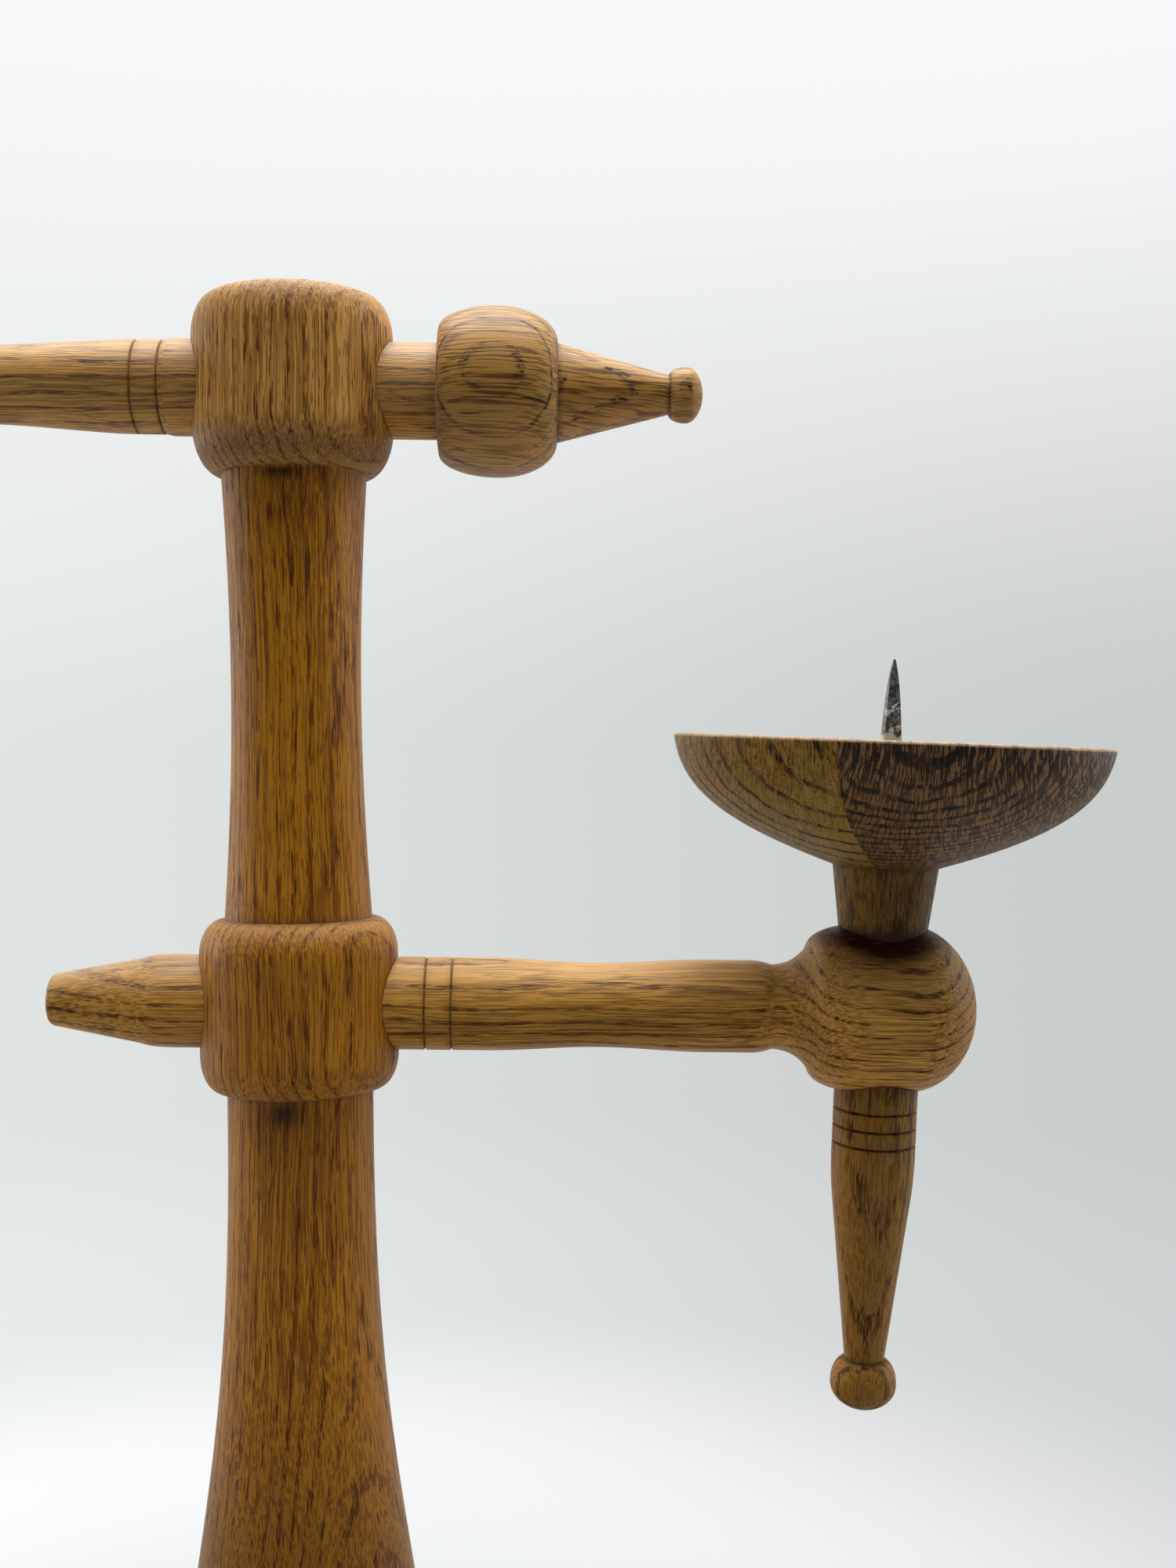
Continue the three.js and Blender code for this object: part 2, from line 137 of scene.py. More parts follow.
def blend(tree, share, first, second, data_type="RGBA"):
    """Mixes two colours, or two numbers, by a share from 0 to 1."""
    node = add(tree, "Mix", data_type=data_type)
    *places, answer = {"RGBA": (0, 6, 7, 2), "FLOAT": (0, 2, 3, 0)}[data_type]
    for place, value in zip(places, (share, first, second)):
        plug(tree, value, node.inputs[place])
    return node.outputs[answer]


def blend_shaders(tree, share, first, second):
    """Mixes two shaders by a share from 0 to 1."""
    node = add(tree, "MixShader")
    for socket, value in zip(node.inputs, (share, first.outputs[0], second.outputs[0])):
        plug(tree, value, socket)
    return node


def split(tree, vector):
    """The X, Y and Z of a vector."""
    return add(tree, "SeparateXYZ", Vector=vector).outputs


def on_piece(tree):
    """Where each point lies on its own piece, in metres."""
    return add(tree, "TexCoord").outputs["Object"]


def bare_finish(name):
    """A finish with nothing in it yet, and its node tree."""
    finish = bpy.data.materials.new(name)
    finish.use_nodes = True
    finish.node_tree.nodes.clear()
    return finish, finish.node_tree


def coat(tree, shader):
    """Makes a shader the finish's surface."""
    add(tree, "OutputMaterial", Surface=shader.outputs[0])


paper, tree = bare_finish("floor_paper")
place = on_piece(tree)
reach = vectors(tree, "LENGTH", place)
tone = blend(tree, ease(tree, reach, *NEAR_TO_MIDDLE), tint(PAPER_NEAR), tint(PAPER_MIDDLE))
tone = blend(tree, ease(tree, reach, *MIDDLE_TO_FAR), tone, tint(PAPER_FAR))
outward = vectors(tree, "NORMALIZE", vectors(tree, "SUBTRACT", place, SHADE_FROM))
shade = ease(tree, split(tree, outward)["X"], *SHADE_ACROSS)
seen = add(tree, "LightPath").outputs
# The camera sees the paper paler than the light that it bounces, as painted light
lit_tone = blend(tree, seen["Is Camera Ray"], tint(PAPER_BOUNCE), tint(PAPER_UNDER_LAMPS))
lit = add(tree, "BsdfDiffuse", Color=lit_tone)
glow = add(tree, "Emission", Color=tone, Strength=shade)
seen_share = reckon(tree, "MAXIMUM", seen["Is Camera Ray"], seen["Is Glossy Ray"])
glow_share = reckon(tree, "MULTIPLY", ease(tree, reach, *GLOW_STARTS), seen_share)
coat(tree, blend_shaders(tree, glow_share, lit, glow))

floor_mesh = bpy.data.meshes.new("floor")
floor_angles = [math.tau * k / FLOOR_SIDES for k in range(FLOOR_SIDES)]
floor_rim = [(FLOOR_RADIUS * math.cos(a), FLOOR_RADIUS * math.sin(a), 0) for a in floor_angles]
floor_mesh.from_pydata(floor_rim, [], [list(range(FLOOR_SIDES))])
floor_mesh.materials.append(paper)
floor = bpy.data.objects.new("floor", floor_mesh)
bpy.context.collection.objects.link(floor)


# Room: a white wall all round that pales towards the ceiling. What lights the
# holder is the pale wall behind it, a large soft lamp overhead and one on either side.
WALL_LOW = "d7dbda"
WALL_MIDDLE = "e6e9e8"
WALL_HIGH = "f8f9fb"
WALL_LOW_TO_MIDDLE = (0.0, 0.20)
WALL_MIDDLE_TO_HIGH = (0.14, 0.42)
SIDES_EVEN_OUT = (0.05, 0.35)
WHITE = (1.0, 1.0, 1.0, 1.0)
TENT_EVEN = 0.06
TENT_BEHIND = 0.8
TENT_OVERHEAD = 0.2
FROM_SIDES_TO_BACK = (-0.1, 0.9)
FROM_LOW_TO_OVERHEAD = (0.3, 0.95)
HOLDER_MIDDLE = (0.0, 0.0, 0.28)

world = bpy.data.worlds.new("room")
bpy.context.scene.world = world
world.use_nodes = True
tree = world.node_tree
tree.nodes.clear()
direction = split(tree, add(tree, "TexCoord").outputs["Generated"])
wall_tone = ease(tree, direction["Z"], *WALL_LOW_TO_MIDDLE)
wall = blend(tree, wall_tone, tint(WALL_LOW), tint(WALL_MIDDLE))
wall = blend(tree, ease(tree, direction["Z"], *WALL_MIDDLE_TO_HIGH), wall, tint(WALL_HIGH))
tent_ends = (TENT_EVEN, TENT_EVEN + TENT_BEHIND)
behind = ease(tree, direction["Y"], *FROM_SIDES_TO_BACK, *tent_ends)
overhead = ease(tree, direction["Z"], *FROM_LOW_TO_OVERHEAD, 0.0, TENT_OVERHEAD)
tent = reckon(tree, "ADD", behind, overhead)
seen = add(tree, "LightPath").outputs
seen_share = reckon(tree, "MAXIMUM", seen["Is Camera Ray"], seen["Is Transmission Ray"])
wall_side = ease(tree, direction["X"], *SHADE_ACROSS)
wall_side = blend(tree, ease(tree, direction["Z"], *SIDES_EVEN_OUT), wall_side, WHITE)
wall = vectors(tree, "MULTIPLY", wall, wall_side)
seen_sky = add(tree, "Background", Color=wall, Strength=1.0)
tent_sky = add(tree, "Background", Color=WHITE, Strength=tent)
sky = blend_shaders(tree, seen_share, tent_sky, seen_sky)
add(tree, "OutputWorld", Surface=sky.outputs[0])


def soft_lamp(name, place, aim, width, height, watts):
    """A rectangular soft lamp that faces a point."""
    lamp_data = bpy.data.lights.new(name, "AREA")
    lamp_data.shape = "RECTANGLE"
    lamp_data.size = width
    lamp_data.size_y = height
    lamp_data.energy = watts
    lamp = bpy.data.objects.new(name, lamp_data)
    lamp.location = place
    lamp.rotation_euler = (Vector(aim) - Vector(place)).to_track_quat("-Z", "Y").to_euler()
    lamp.visible_camera = False
    bpy.context.collection.objects.link(lamp)


soft_lamp("lamp_above", (0.05, 0.15, 2.2), (0.05, 0.0, 0.3), width=2.0, height=1.8, watts=105)
soft_lamp("lamp_left", (-1.6, 0.45, 0.5), HOLDER_MIDDLE, width=1.1, height=1.5, watts=17)
soft_lamp("lamp_right", (1.6, 0.35, 0.5), HOLDER_MIDDLE, width=1.1, height=1.5, watts=11.5)


# Column: one turning in oak, from the round tenon under its flared foot to the
# rounded top, with two hubs left proud and bored through for the arms. Oiled.
MM = 0.001
UPPER_ARM_HEIGHT = 371.3
LOWER_ARM_HEIGHT = 218.5
UPPER_ARM_DROOP = 1
LOWER_ARM_DROOP = 1.33
UPPER_ARM_RADIUS = 11.9
LOWER_ARM_RADIUS = 11.55
SNUG = 0.08
FELT_THICKNESS = 1.6
SEAT = 0.3
BASE_THICKNESS = 26
FOOT_RADIUS = 33.6
FOOT_EDGE = 2
FOOT_HEIGHT = FELT_THICKNESS + SEAT + BASE_THICKNESS + SEAT
FLARE_LEAN_HEIGHT = 60
FLARE_LEAN_IN = 7.8
FLARE_LENGTH = 83.2
LOWER_POST_RADIUS = 18
STRAIGHT_BELOW_HUB = 10
LOWER_HUB_HEIGHT = 42.2
LOWER_HUB_RADII = (19.9, 24.5, 18.8)
LOWER_HUB_ROUNDS = (8.7, 8.7)
POST_FOOT_RADIUS = 18.2
POST_TOP_RADIUS = 17.9
WAIST_PULL = 15.35
WAIST_HALF_LENGTH = 15.3
UPPER_HUB_HEIGHT = 43.5
UPPER_HUB_RADII = (18, 24.8, 20)
UPPER_HUB_ROUNDS = (12.6, 9.3)
HUB_TOP_RISE = 1
TENON_RADIUS = 11
TENON_LENGTH = 16
SCREW_HOLE_RADIUS = 2.5
SCREW_TOP = 42.6
ROUND_STEPS = 14
AROUND = 144
BORER_SIDES = 96
BORER_REACH = 40
QUARTER_BULGE = 0.5523
DARKEST = 1.3


def line_to(outline, *ends, step=1.5):
    """Adds straight stretches to an outline of (radius, height) points."""
    for end in ends:
        start = outline[-1]
        count = max(1, math.ceil(math.dist(start, end) / step))
        for k in range(1, count + 1):
            share = k / count
            outline.append(tuple(here + share * (there - here) for here, there in zip(start, end)))


def curve_to(outline, near, far, end, steps=ROUND_STEPS * 2):
    """Adds a curve that leaves the last point towards near and arrives from far."""
    start = outline[-1]
    for k in range(1, steps + 1):
        t = k / steps
        weights = ((1 - t) ** 3, 3 * t * (1 - t) ** 2, 3 * t * t * (1 - t), t ** 3)
        outline.append(tuple(
            sum(weight * point[i] for weight, point in zip(weights, (start, near, far, end)))
            for i in (0, 1)
        ))


def bend_to(outline, by, end, steps=ROUND_STEPS):
    """Adds a plain bend that is drawn towards one point on its way."""
    pulls = [
        tuple(here + (there - here) * 2 / 3 for here, there in zip(spot, by))
        for spot in (outline[-1], end)
    ]
    curve_to(outline, *pulls, end, steps)


def round_to(outline, end, flat_first):
    """Adds a rounded shoulder, a quarter of an oval that bulges outwards."""
    start = outline[-1]
    across, along = (QUARTER_BULGE * (end[i] - start[i]) for i in (0, 1))
    if flat_first:
        near, far = (start[0] + across, start[1]), (end[0], end[1] - along)
    else:
        near, far = (start[0], start[1] + along), (end[0] - across, end[1])
    curve_to(outline, near, far, end, ROUND_STEPS)


def proud_hub(outline, bottom, top, radii, rounds):
    """A hub left proud of the post, from its foot over both rounded shoulders."""
    line_to(outline, (radii[0], bottom))
    round_to(outline, (radii[1], bottom + rounds[0]), True)
    line_to(outline, (radii[1], top - rounds[1]))
    round_to(outline, (radii[2], top), False)


def turn(name, outline, around=AROUND):
    """Spins an outline of (radius, height) points in mm into a closed, smooth body along Z."""
    points, faces, rings = [], [], []
    for radius, height in outline:
        count = around if radius > 1e-6 else 1
        rings.append(range(len(points), len(points) + count))
        for k in range(count):
            angle = math.tau * k / around
            spot = (radius * MM * math.cos(angle), radius * MM * math.sin(angle), height * MM)
            points.append(spot)
    for low, high in zip(rings, rings[1:]):
        for k in range(max(len(low), len(high))):
            sides = [(ring[k % len(ring)], ring[(k + 1) % len(ring)]) for ring in (low, high)]
            corners = tuple(dict.fromkeys((*sides[0], *reversed(sides[1]))))
            if len(corners) > 2:
                faces.append(corners)
    mesh = bpy.data.meshes.new(name)
    mesh.from_pydata(points, [], faces)
    mesh.update()
    body = bpy.data.objects.new(name, mesh)
    bpy.context.collection.objects.link(body)
    return body


def cut_away(body, cutter):
    """Cuts one closed body out of another and throws the cutter away."""
    saw = body.modifiers.new("cut", "BOOLEAN")
    saw.operation = "DIFFERENCE"
    saw.solver = "EXACT"
    saw.object = cutter
    bpy.context.view_layer.update()
    cut_body = body.evaluated_get(bpy.context.evaluated_depsgraph_get())
    finished = bpy.data.meshes.new_from_object(cut_body)
    body.modifiers.remove(saw)
    rough = body.data
    body.data = finished
    bpy.data.meshes.remove(rough)
    bpy.data.objects.remove(cutter)


def polish(body, crease=35):
    """Smooth shading, with the turned creases kept crisp."""
    body.data.name = body.name
    body.data.shade_smooth()
    body.data.set_sharp_from_angle(angle=math.radians(crease))


def darken(body, **kinds):
    """Stores, as numbers for the finish, how scorched or darkened with painted shade, and how worn,
    waxed or paled with painted sheen, each point is.
    """
    points = np.empty(len(body.data.vertices) * 3, np.float32)
    body.data.vertices.foreach_get("co", points)
    for kind, depth in kinds.items():
        values = np.clip(depth(points.reshape(-1, 3) / MM), 0, DARKEST).astype(np.float32)
        body.data.attributes.new(kind, "FLOAT", "POINT").data.foreach_set("value", values)


def lay_on(body, finish):
    """Gives a whole piece one finish."""
    body.data.materials.clear()
    body.data.materials.append(finish)


def tip(degrees, axis="Y"):
    """A turn about one axis."""
    return Matrix.Rotation(math.radians(degrees), 4, axis)


def in_mm(matrix):
    """A matrix with its shift given in mm, for Blender's metres."""
    placed = matrix.copy()
    placed.translation = matrix.translation * MM
    return placed


lower_hub_bottom = LOWER_ARM_HEIGHT - LOWER_HUB_HEIGHT / 2
lower_hub_top = LOWER_ARM_HEIGHT + LOWER_HUB_HEIGHT / 2
upper_hub_bottom = UPPER_ARM_HEIGHT - UPPER_HUB_HEIGHT / 2
upper_hub_top = UPPER_ARM_HEIGHT + UPPER_HUB_HEIGHT / 2
waist_height = (lower_hub_top + upper_hub_bottom) / 2
flare_foot = FOOT_HEIGHT + FOOT_EDGE
column_top = upper_hub_top + HUB_TOP_RISE
outline = [(0, FOOT_HEIGHT - TENON_LENGTH)]
line_to(
    outline,
    (TENON_RADIUS, FOOT_HEIGHT - TENON_LENGTH),
    (TENON_RADIUS, FOOT_HEIGHT),
    (FOOT_RADIUS - FOOT_EDGE, FOOT_HEIGHT),
)
bend_to(outline, (FOOT_RADIUS, FOOT_HEIGHT), (FOOT_RADIUS, flare_foot), steps=6)
curve_to(
    outline,
    (FOOT_RADIUS - FLARE_LEAN_IN, flare_foot + FLARE_LEAN_HEIGHT),
    (LOWER_POST_RADIUS, flare_foot + FLARE_LENGTH),
    (LOWER_POST_RADIUS, lower_hub_bottom - STRAIGHT_BELOW_HUB),
    steps=90,
)
line_to(outline, (LOWER_POST_RADIUS, lower_hub_bottom))
proud_hub(outline, lower_hub_bottom, lower_hub_top, LOWER_HUB_RADII, LOWER_HUB_ROUNDS)
line_to(outline, (POST_FOOT_RADIUS, lower_hub_top))
curve_to(
    outline,
    (WAIST_PULL, waist_height - WAIST_HALF_LENGTH),
    (WAIST_PULL, waist_height + WAIST_HALF_LENGTH),
    (POST_TOP_RADIUS, upper_hub_bottom),
    steps=80,
)
proud_hub(outline, upper_hub_bottom, upper_hub_top, UPPER_HUB_RADII, UPPER_HUB_ROUNDS)
bend_to(outline, (UPPER_HUB_RADII[2] / 2, column_top), (0, column_top), steps=10)
column = turn("turned_column", outline)


def borer(radius, start, end, lie):
    """A round cutter along Z from one height to another, set in place by a matrix in mm."""
    outline = [(0, start), (radius, start)]
    line_to(outline, (radius, end), step=2.0)
    outline.append((0, end))
    cutter = turn("borer", outline, BORER_SIDES)
    cutter.matrix_world = in_mm(lie)
    return cutter


# Where each arm lies in the column: its Z axis along the arm, from left to right
arm_bores = [
    (Matrix.Translation((0, 0, height)) @ (tip(droop) @ tip(90)), radius)
    for height, droop, radius in (
        (UPPER_ARM_HEIGHT, UPPER_ARM_DROOP, UPPER_ARM_RADIUS),
        (LOWER_ARM_HEIGHT, LOWER_ARM_DROOP, LOWER_ARM_RADIUS),
    )
]
for bore, radius in arm_bores:
    cut_away(column, borer(radius + SNUG, -BORER_REACH, BORER_REACH, bore))
cut_away(column, borer(SCREW_HOLE_RADIUS, 0, SCREW_TOP, Matrix.Identity(4)))
polish(column)

# How dark the painted shade in each crease and under the upper hub, and each burn mark, is, where
# it lies, and over how many mm it fades
COLUMN_CREASES = (
    (0.45, upper_hub_bottom, 0.6),
    (0.5, lower_hub_bottom, 0.6),
    (0.4, lower_hub_top, 0.5),
    (0.54, upper_hub_bottom + 3.5, 5),
)
COLUMN_BURNS = (
    (1.3, (-0.8, -17.0, upper_hub_bottom - 1.7), (4.6, 9, 1.6)),
    (1.15, (-1.9, -17.5, lower_hub_bottom - 3.6), (3.8, 9, 3.2)),
)
# Dark joint lines with painted shade round the bores, and painted shade on the column's top
JOINT_LINE_AND_SHADE = 0.55
RIM_SPREAD = 0.7
TOP_SHADE = 0.12
# The painted sheen on the shoulders that face up
UPPER_SHEEN = 0.4
LOWER_SHEEN = 0.2


def near_bore(points, bore, radius, spread):
    """1 on the rim of a bore, falling to 0 a few mm away from it."""
    turned_back = np.array(bore.inverted())
    local = points @ turned_back[:3, :3].T + turned_back[:3, 3]
    away = np.abs(np.hypot(local[:, 0], local[:, 1]) - radius)
    return np.exp(-(away / spread) ** 2)


def near_height(points, height, spread):
    """1 at a height along the turning, falling to 0 a few mm away from it."""
    return np.exp(-((points[:, 2] - height) / spread) ** 2)


def rise(points, height, lead, length):
    """0 up to a lead below a height along the turning, then 1 after so many mm."""
    return np.clip((points[:, 2] - height + lead) / length, 0, 1)


def smudge(points, place, spread):
    """1 at a spot on the surface, falling to 0 over its spread in X, Y and Z."""
    away = (points - np.array(place)) / np.array(spread)
    return np.exp(-(away ** 2).sum(axis=1))


def from_axis(points):
    """How far each point is from the turning's axis."""
    return np.hypot(points[:, 0], points[:, 1])


def column_burns_and_shade(points):
    """Painted shade in the creases and under the upper hub, dark joint lines with painted shade
    round the arms' bores, painted shade on the top, and the two burn marks.
    """
    marks = [TOP_SHADE * rise(points, upper_hub_top, lead=9, length=6)]
    marks += [depth * near_height(points, *spot) for depth, *spot in COLUMN_CREASES]
    marks += [depth * smudge(points, *spot) for depth, *spot in COLUMN_BURNS]
    for bore, radius in arm_bores:
        marks.append(JOINT_LINE_AND_SHADE * near_bore(points, bore, radius, RIM_SPREAD))
    return np.maximum.reduce(marks)


def column_sheen(points):
    """Painted sheen: how far the two shoulders that face up are paled."""
    below_post = points[:, 2] < lower_hub_top + 0.1
    lower = LOWER_SHEEN * rise(points, lower_hub_top, lead=7, length=6) * below_post
    return UPPER_SHEEN * rise(points, upper_hub_top, lead=9, length=8) + lower


darken(column, grime=column_burns_and_shade, worn=column_sheen)


# Oak as a solid: year rings round a pith that lies outside the blank, each with
# a band of open pores, fibres and streaks along Z, and rays out from the pith.
# Sizes are in mm across the grain and along it, and the sways' reach comes last.
SWAY = (45, 150, 4.5)
WAVER = (7, 28, 0.9)
SHIVER = (2.2, 5.5, 1.0)
BAND_GAP = (2.0, 10)
WIDE_PORE = (0.62, 9)
NARROW_PORE = (0.50, 6)
LONG_LINE = (1.1, 32)
HAIR = (0.40, 34)
STREAK = (1.4, 85)
DRIFT = (16, 70)
# Patches of paling by wear and painted sheen, and of scorching and painted shade
WEAR_AND_SHEEN_PATCH = (1.6, 12)
SCORCH_AND_SHADE_PATCH = (1.1, 8)
RAY_WIDTH, RAY_DEPTH, RAY_HEIGHT = 0.56, 6.0, 5.0
HAIR_SHADE = 0.78
STREAK_SHADE = 0.24
DRIFT_SHADE = 0.42
SPRING_SHADE = 0.36
MEAN_SHADE = 0.40
END_GRAIN_PALES = 0.28
# The pale that wear, old wax and painted sheen go towards, and the dark of scorching and painted
# shade
WAX_AND_SHEEN = "b0977a"
SCORCH_AND_SHADE = "371606"

# What a board may choose: where its pith is and how it is turned, the mm that it
# grew in a year and the mm of those that are spring wood, its four colours, and
# how strong each kind of mark is. High Leaves draw the long lines out into sheets.
BOARD = {
    "Pith": (60.0, 20.0, 0.0), "Turn": (0.0, 0.0, 0.0), "Year": 2.8, "Seed": 0.0, "Band": 0.9,
    "Light": WHITE, "Dark": WHITE, "Pore": WHITE, "Pale": WHITE,
    "Pores": 0.9, "Scatter": 0.85, "Fibres": 1.0, "Rings": 0.35, "Rays": 0.15,
    "Lines": 0.8, "Leaves": 1.0, "Tremble": 0.12,
}


def noise(tree, vector, scale=1.0, detail=2.0, roughness=0.5):
    """A random cloud."""
    choices = {"Vector": vector, "Scale": scale, "Detail": detail, "Roughness": roughness}
    return add(tree, "TexNoise", **choices).outputs


def dents(tree, strength, deep, height):
    """The direction in which a dented surface faces."""
    bump = add(tree, "Bump", Strength=strength, Distance=deep, Height=height)
    return bump.outputs["Normal"]


def make_oak():
    """A node group that gives oak's colour, surface height and roughness at each point."""
    group = bpy.data.node_groups.new("oak_timber", "ShaderNodeTree")
    for name, value in BOARD.items():
        kind = {3: "NodeSocketVector", 4: "NodeSocketColor"}.get(np.size(value), "NodeSocketFloat")
        socket = group.interface.new_socket(name, in_out="INPUT", socket_type=kind)
        socket.default_value = value
    for name, kind in (("Color", "Color"), ("Height", "Float"), ("Roughness", "Float")):
        group.interface.new_socket(name, in_out="OUTPUT", socket_type="NodeSocket" + kind)
    given = group.nodes.new("NodeGroupInput").outputs

    def times(first, second, more=0.0):
        """One value times another, with a third value added."""
        return reckon(group, "MULTIPLY_ADD", first, second, more)

    def less(first, second):
        return reckon(group, "SUBTRACT", first, second)

    def plus(first, second):
        return vectors(group, "ADD", first, second)

    def point(**parts):
        return add(group, "CombineXYZ", **parts).outputs[0]

    def turned(vector):
        """A vector seen from the board's own grain."""
        return add(
            group, "VectorRotate", rotation_type="EULER_XYZ", Vector=vector, Rotation=given["Turn"]
        ).outputs[0]

    def stretched(vector, across, along):
        """Coordinates in lengths of one mark: so many mm across and along the grain."""
        return vectors(group, "MULTIPLY", vector, (1 / across, 1 / across, 1 / along))

    def swing(across, along, reach):
        """A slow random shift across the grain, of up to so many mm."""
        colour = noise(group, stretched(blank, across, along), detail=1.0)["Color"]
        shift = vectors(group, "SUBTRACT", colour, (0.5, 0.5, 0.5))
        return vectors(group, "MULTIPLY", shift, (2 * reach, 2 * reach, 0.0))

    def patches(vector, start, end, low=0.0, high=1.0, detail=2.0, roughness=0.5):
        """A random pattern that runs from low to high between two levels of noise."""
        cloud = noise(group, vector, detail=detail, roughness=roughness)["Fac"]
        return ease(group, cloud, start, end, low, high)

    def threads(vector, bore, by_luck, inner, outer):
        """Dark threads in random cells, each as wide as its bore and its luck make it."""
        cells = add(group, "TexVoronoi", Vector=vector, Scale=1.0, Randomness=1.0).outputs
        luck = add(group, "SeparateColor", Color=cells["Color"]).outputs[0]
        width = times(luck, by_luck, bore)
        return ease(group, less(cells["Distance"], width), inner, outer, 1.0, 0.0)

    coordinates = add(group, "TexCoord").outputs
    metres = coordinates["Object"]
    along_grain = turned(vectors(group, "MULTIPLY", metres, (1000.0, 1000.0, 1000.0)))
    seed = point(X=given["Seed"], Y=given["Seed"], Z=given["Seed"])
    blank = plus(along_grain, seed)

    # The fibres sway over the length of the blank, waver, and tremble finely
    bent = plus(plus(along_grain, swing(*SWAY)), swing(*WAVER))
    tremble = point(X=given["Tremble"], Y=given["Tremble"])
    trembling = plus(bent, vectors(group, "MULTIPLY", swing(*SHIVER), tremble))
    fibres = plus(trembling, seed)

    # Year rings round the pith, each opening with a band of wide pores
    from_pith = split(group, vectors(group, "SUBTRACT", trembling, given["Pith"]))
    depth = vectors(group, "LENGTH", point(X=from_pith["X"], Y=from_pith["Y"]))
    years = reckon(group, "DIVIDE", depth, given["Year"])
    into_year = times(reckon(group, "FRACT", years), given["Year"])
    year = reckon(group, "FLOOR", years)
    weather = add(group, "TexWhiteNoise", noise_dimensions="1D", W=year)
    late = times(weather.outputs["Value"], -0.5, into_year)
    band_end = ease(group, late, times(given["Band"], 0.5), given["Band"], 1.0, 0.0)
    spring = times(ease(group, into_year, 0.0, 0.2), band_end)
    broken = patches(stretched(fibres, *BAND_GAP), 0.36, 0.60, detail=1.0)
    spring = times(spring, times(broken, 0.65, 0.35))

    # Open pores: wide threads crowded in the spring wood, narrow ones everywhere
    wide_bore = times(spring, 0.40, -0.05)
    wide = threads(stretched(fibres, *WIDE_PORE), wide_bore, 0.20, -0.05, 0.06)
    narrow_bore = times(spring, 0.14, 0.10)
    narrow = threads(stretched(fibres, *NARROW_PORE), narrow_bore, 0.22, -0.05, 0.05)
    crowding = times(spring, less(1.0, given["Scatter"]), given["Scatter"])

    # Rays: thin leaves that stand along the grain and run out from the pith
    angle = reckon(group, "ARCTAN2", from_pith["Y"], from_pith["X"])
    sideways = times(angle, vectors(group, "LENGTH", given["Pith"]))
    leaf = point(
        X=reckon(group, "DIVIDE", sideways, RAY_WIDTH),
        Y=reckon(group, "DIVIDE", depth, RAY_DEPTH),
        Z=reckon(group, "DIVIDE", from_pith["Z"], RAY_HEIGHT),
    )
    ray = patches(leaf, 0.48, 0.56, detail=1.0, roughness=0.6)

    # Long lines and fine fibres, as threads or, where Leaves is high, as leaves
    # that are seen edge on from the pith's side and from the one across from it
    out_from_pith = reckon(group, "DIVIDE", depth, given["Leaves"])
    edge_on = plus(point(X=sideways, Y=out_from_pith, Z=from_pith["Z"]), seed)
    long_line = threads(stretched(edge_on, *LONG_LINE), -0.03, 0.28, -0.03, 0.03)
    hair = patches(stretched(edge_on, *HAIR), 0.40, 0.60, detail=1.0)

    # Colour: fibres, broader streaks, darker spring wood and a slow drift
    streak = patches(stretched(fibres, *STREAK), 0.32, 0.68)
    drift = patches(stretched(blank, *DRIFT), 0.30, 0.70)
    shade = times(less(hair, 0.5), HAIR_SHADE)
    shade = times(less(streak, 0.5), STREAK_SHADE, shade)
    shade = times(shade, given["Fibres"])
    shade = times(less(drift, 0.5), DRIFT_SHADE, shade)
    shade = times(spring, SPRING_SHADE, shade)
    shade = reckon(group, "ADD", shade, MEAN_SHADE)
    tone = blend(group, shade, given["Light"], given["Dark"])

    # Across the grain the cut fibres are paler and rougher, and the pores are dots
    slope = reckon(group, "ABSOLUTE", split(group, turned(coordinates["Normal"]))["Z"])
    end_grain = ease(group, slope, 0.18, 0.85)
    tone = blend(group, times(end_grain, END_GRAIN_PALES), tone, given["Pale"])
    ring = times(spring, times(end_grain, given["Rings"]))
    tone = blend(group, ring, tone, given["Pore"])
    ray_share = times(times(ray, given["Rays"]), times(spring, -0.9, 1.0))
    tone = blend(group, ray_share, tone, given["Pale"])
    wide_share = times(times(wide, given["Pores"]), times(ray, -0.5, 1.0))
    wide_share = times(wide_share, crowding)
    narrow_share = times(times(narrow, crowding), given["Pores"])
    for share in (times(long_line, given["Lines"]), narrow_share, wide_share):
        tone = blend(group, share, tone, given["Pore"])

    # Patches paled by wear, old wax and painted sheen, then darkened by scorching and painted shade
    for kind, size, start, faintest, colour in (
        ("worn", WEAR_AND_SHEEN_PATCH, 0.3, 0.45, WAX_AND_SHEEN), ("grime", SCORCH_AND_SHADE_PATCH, 0.2, 0.72, SCORCH_AND_SHADE)
    ):
        stored = add(group, "Attribute", attribute_name=kind).outputs["Fac"]
        patchy = patches(stretched(fibres, *size), start, 0.6, faintest, 1.0)
        tone = blend(group, times(stored, patchy), tone, tint(colour))

    height = times(wide_share, -1.0)
    for share, dip in ((narrow_share, -0.3), (long_line, -0.4), (hair, -0.2)):
        height = times(share, dip, height)
    roughness = times(end_grain, 0.12, times(wide_share, 0.25, 0.44))
    made = group.nodes.new("NodeGroupOutput")
    for socket, value in zip(made.inputs, (tone, height, roughness)):
        plug(group, value, socket)
    return group


oak_timber = make_oak()


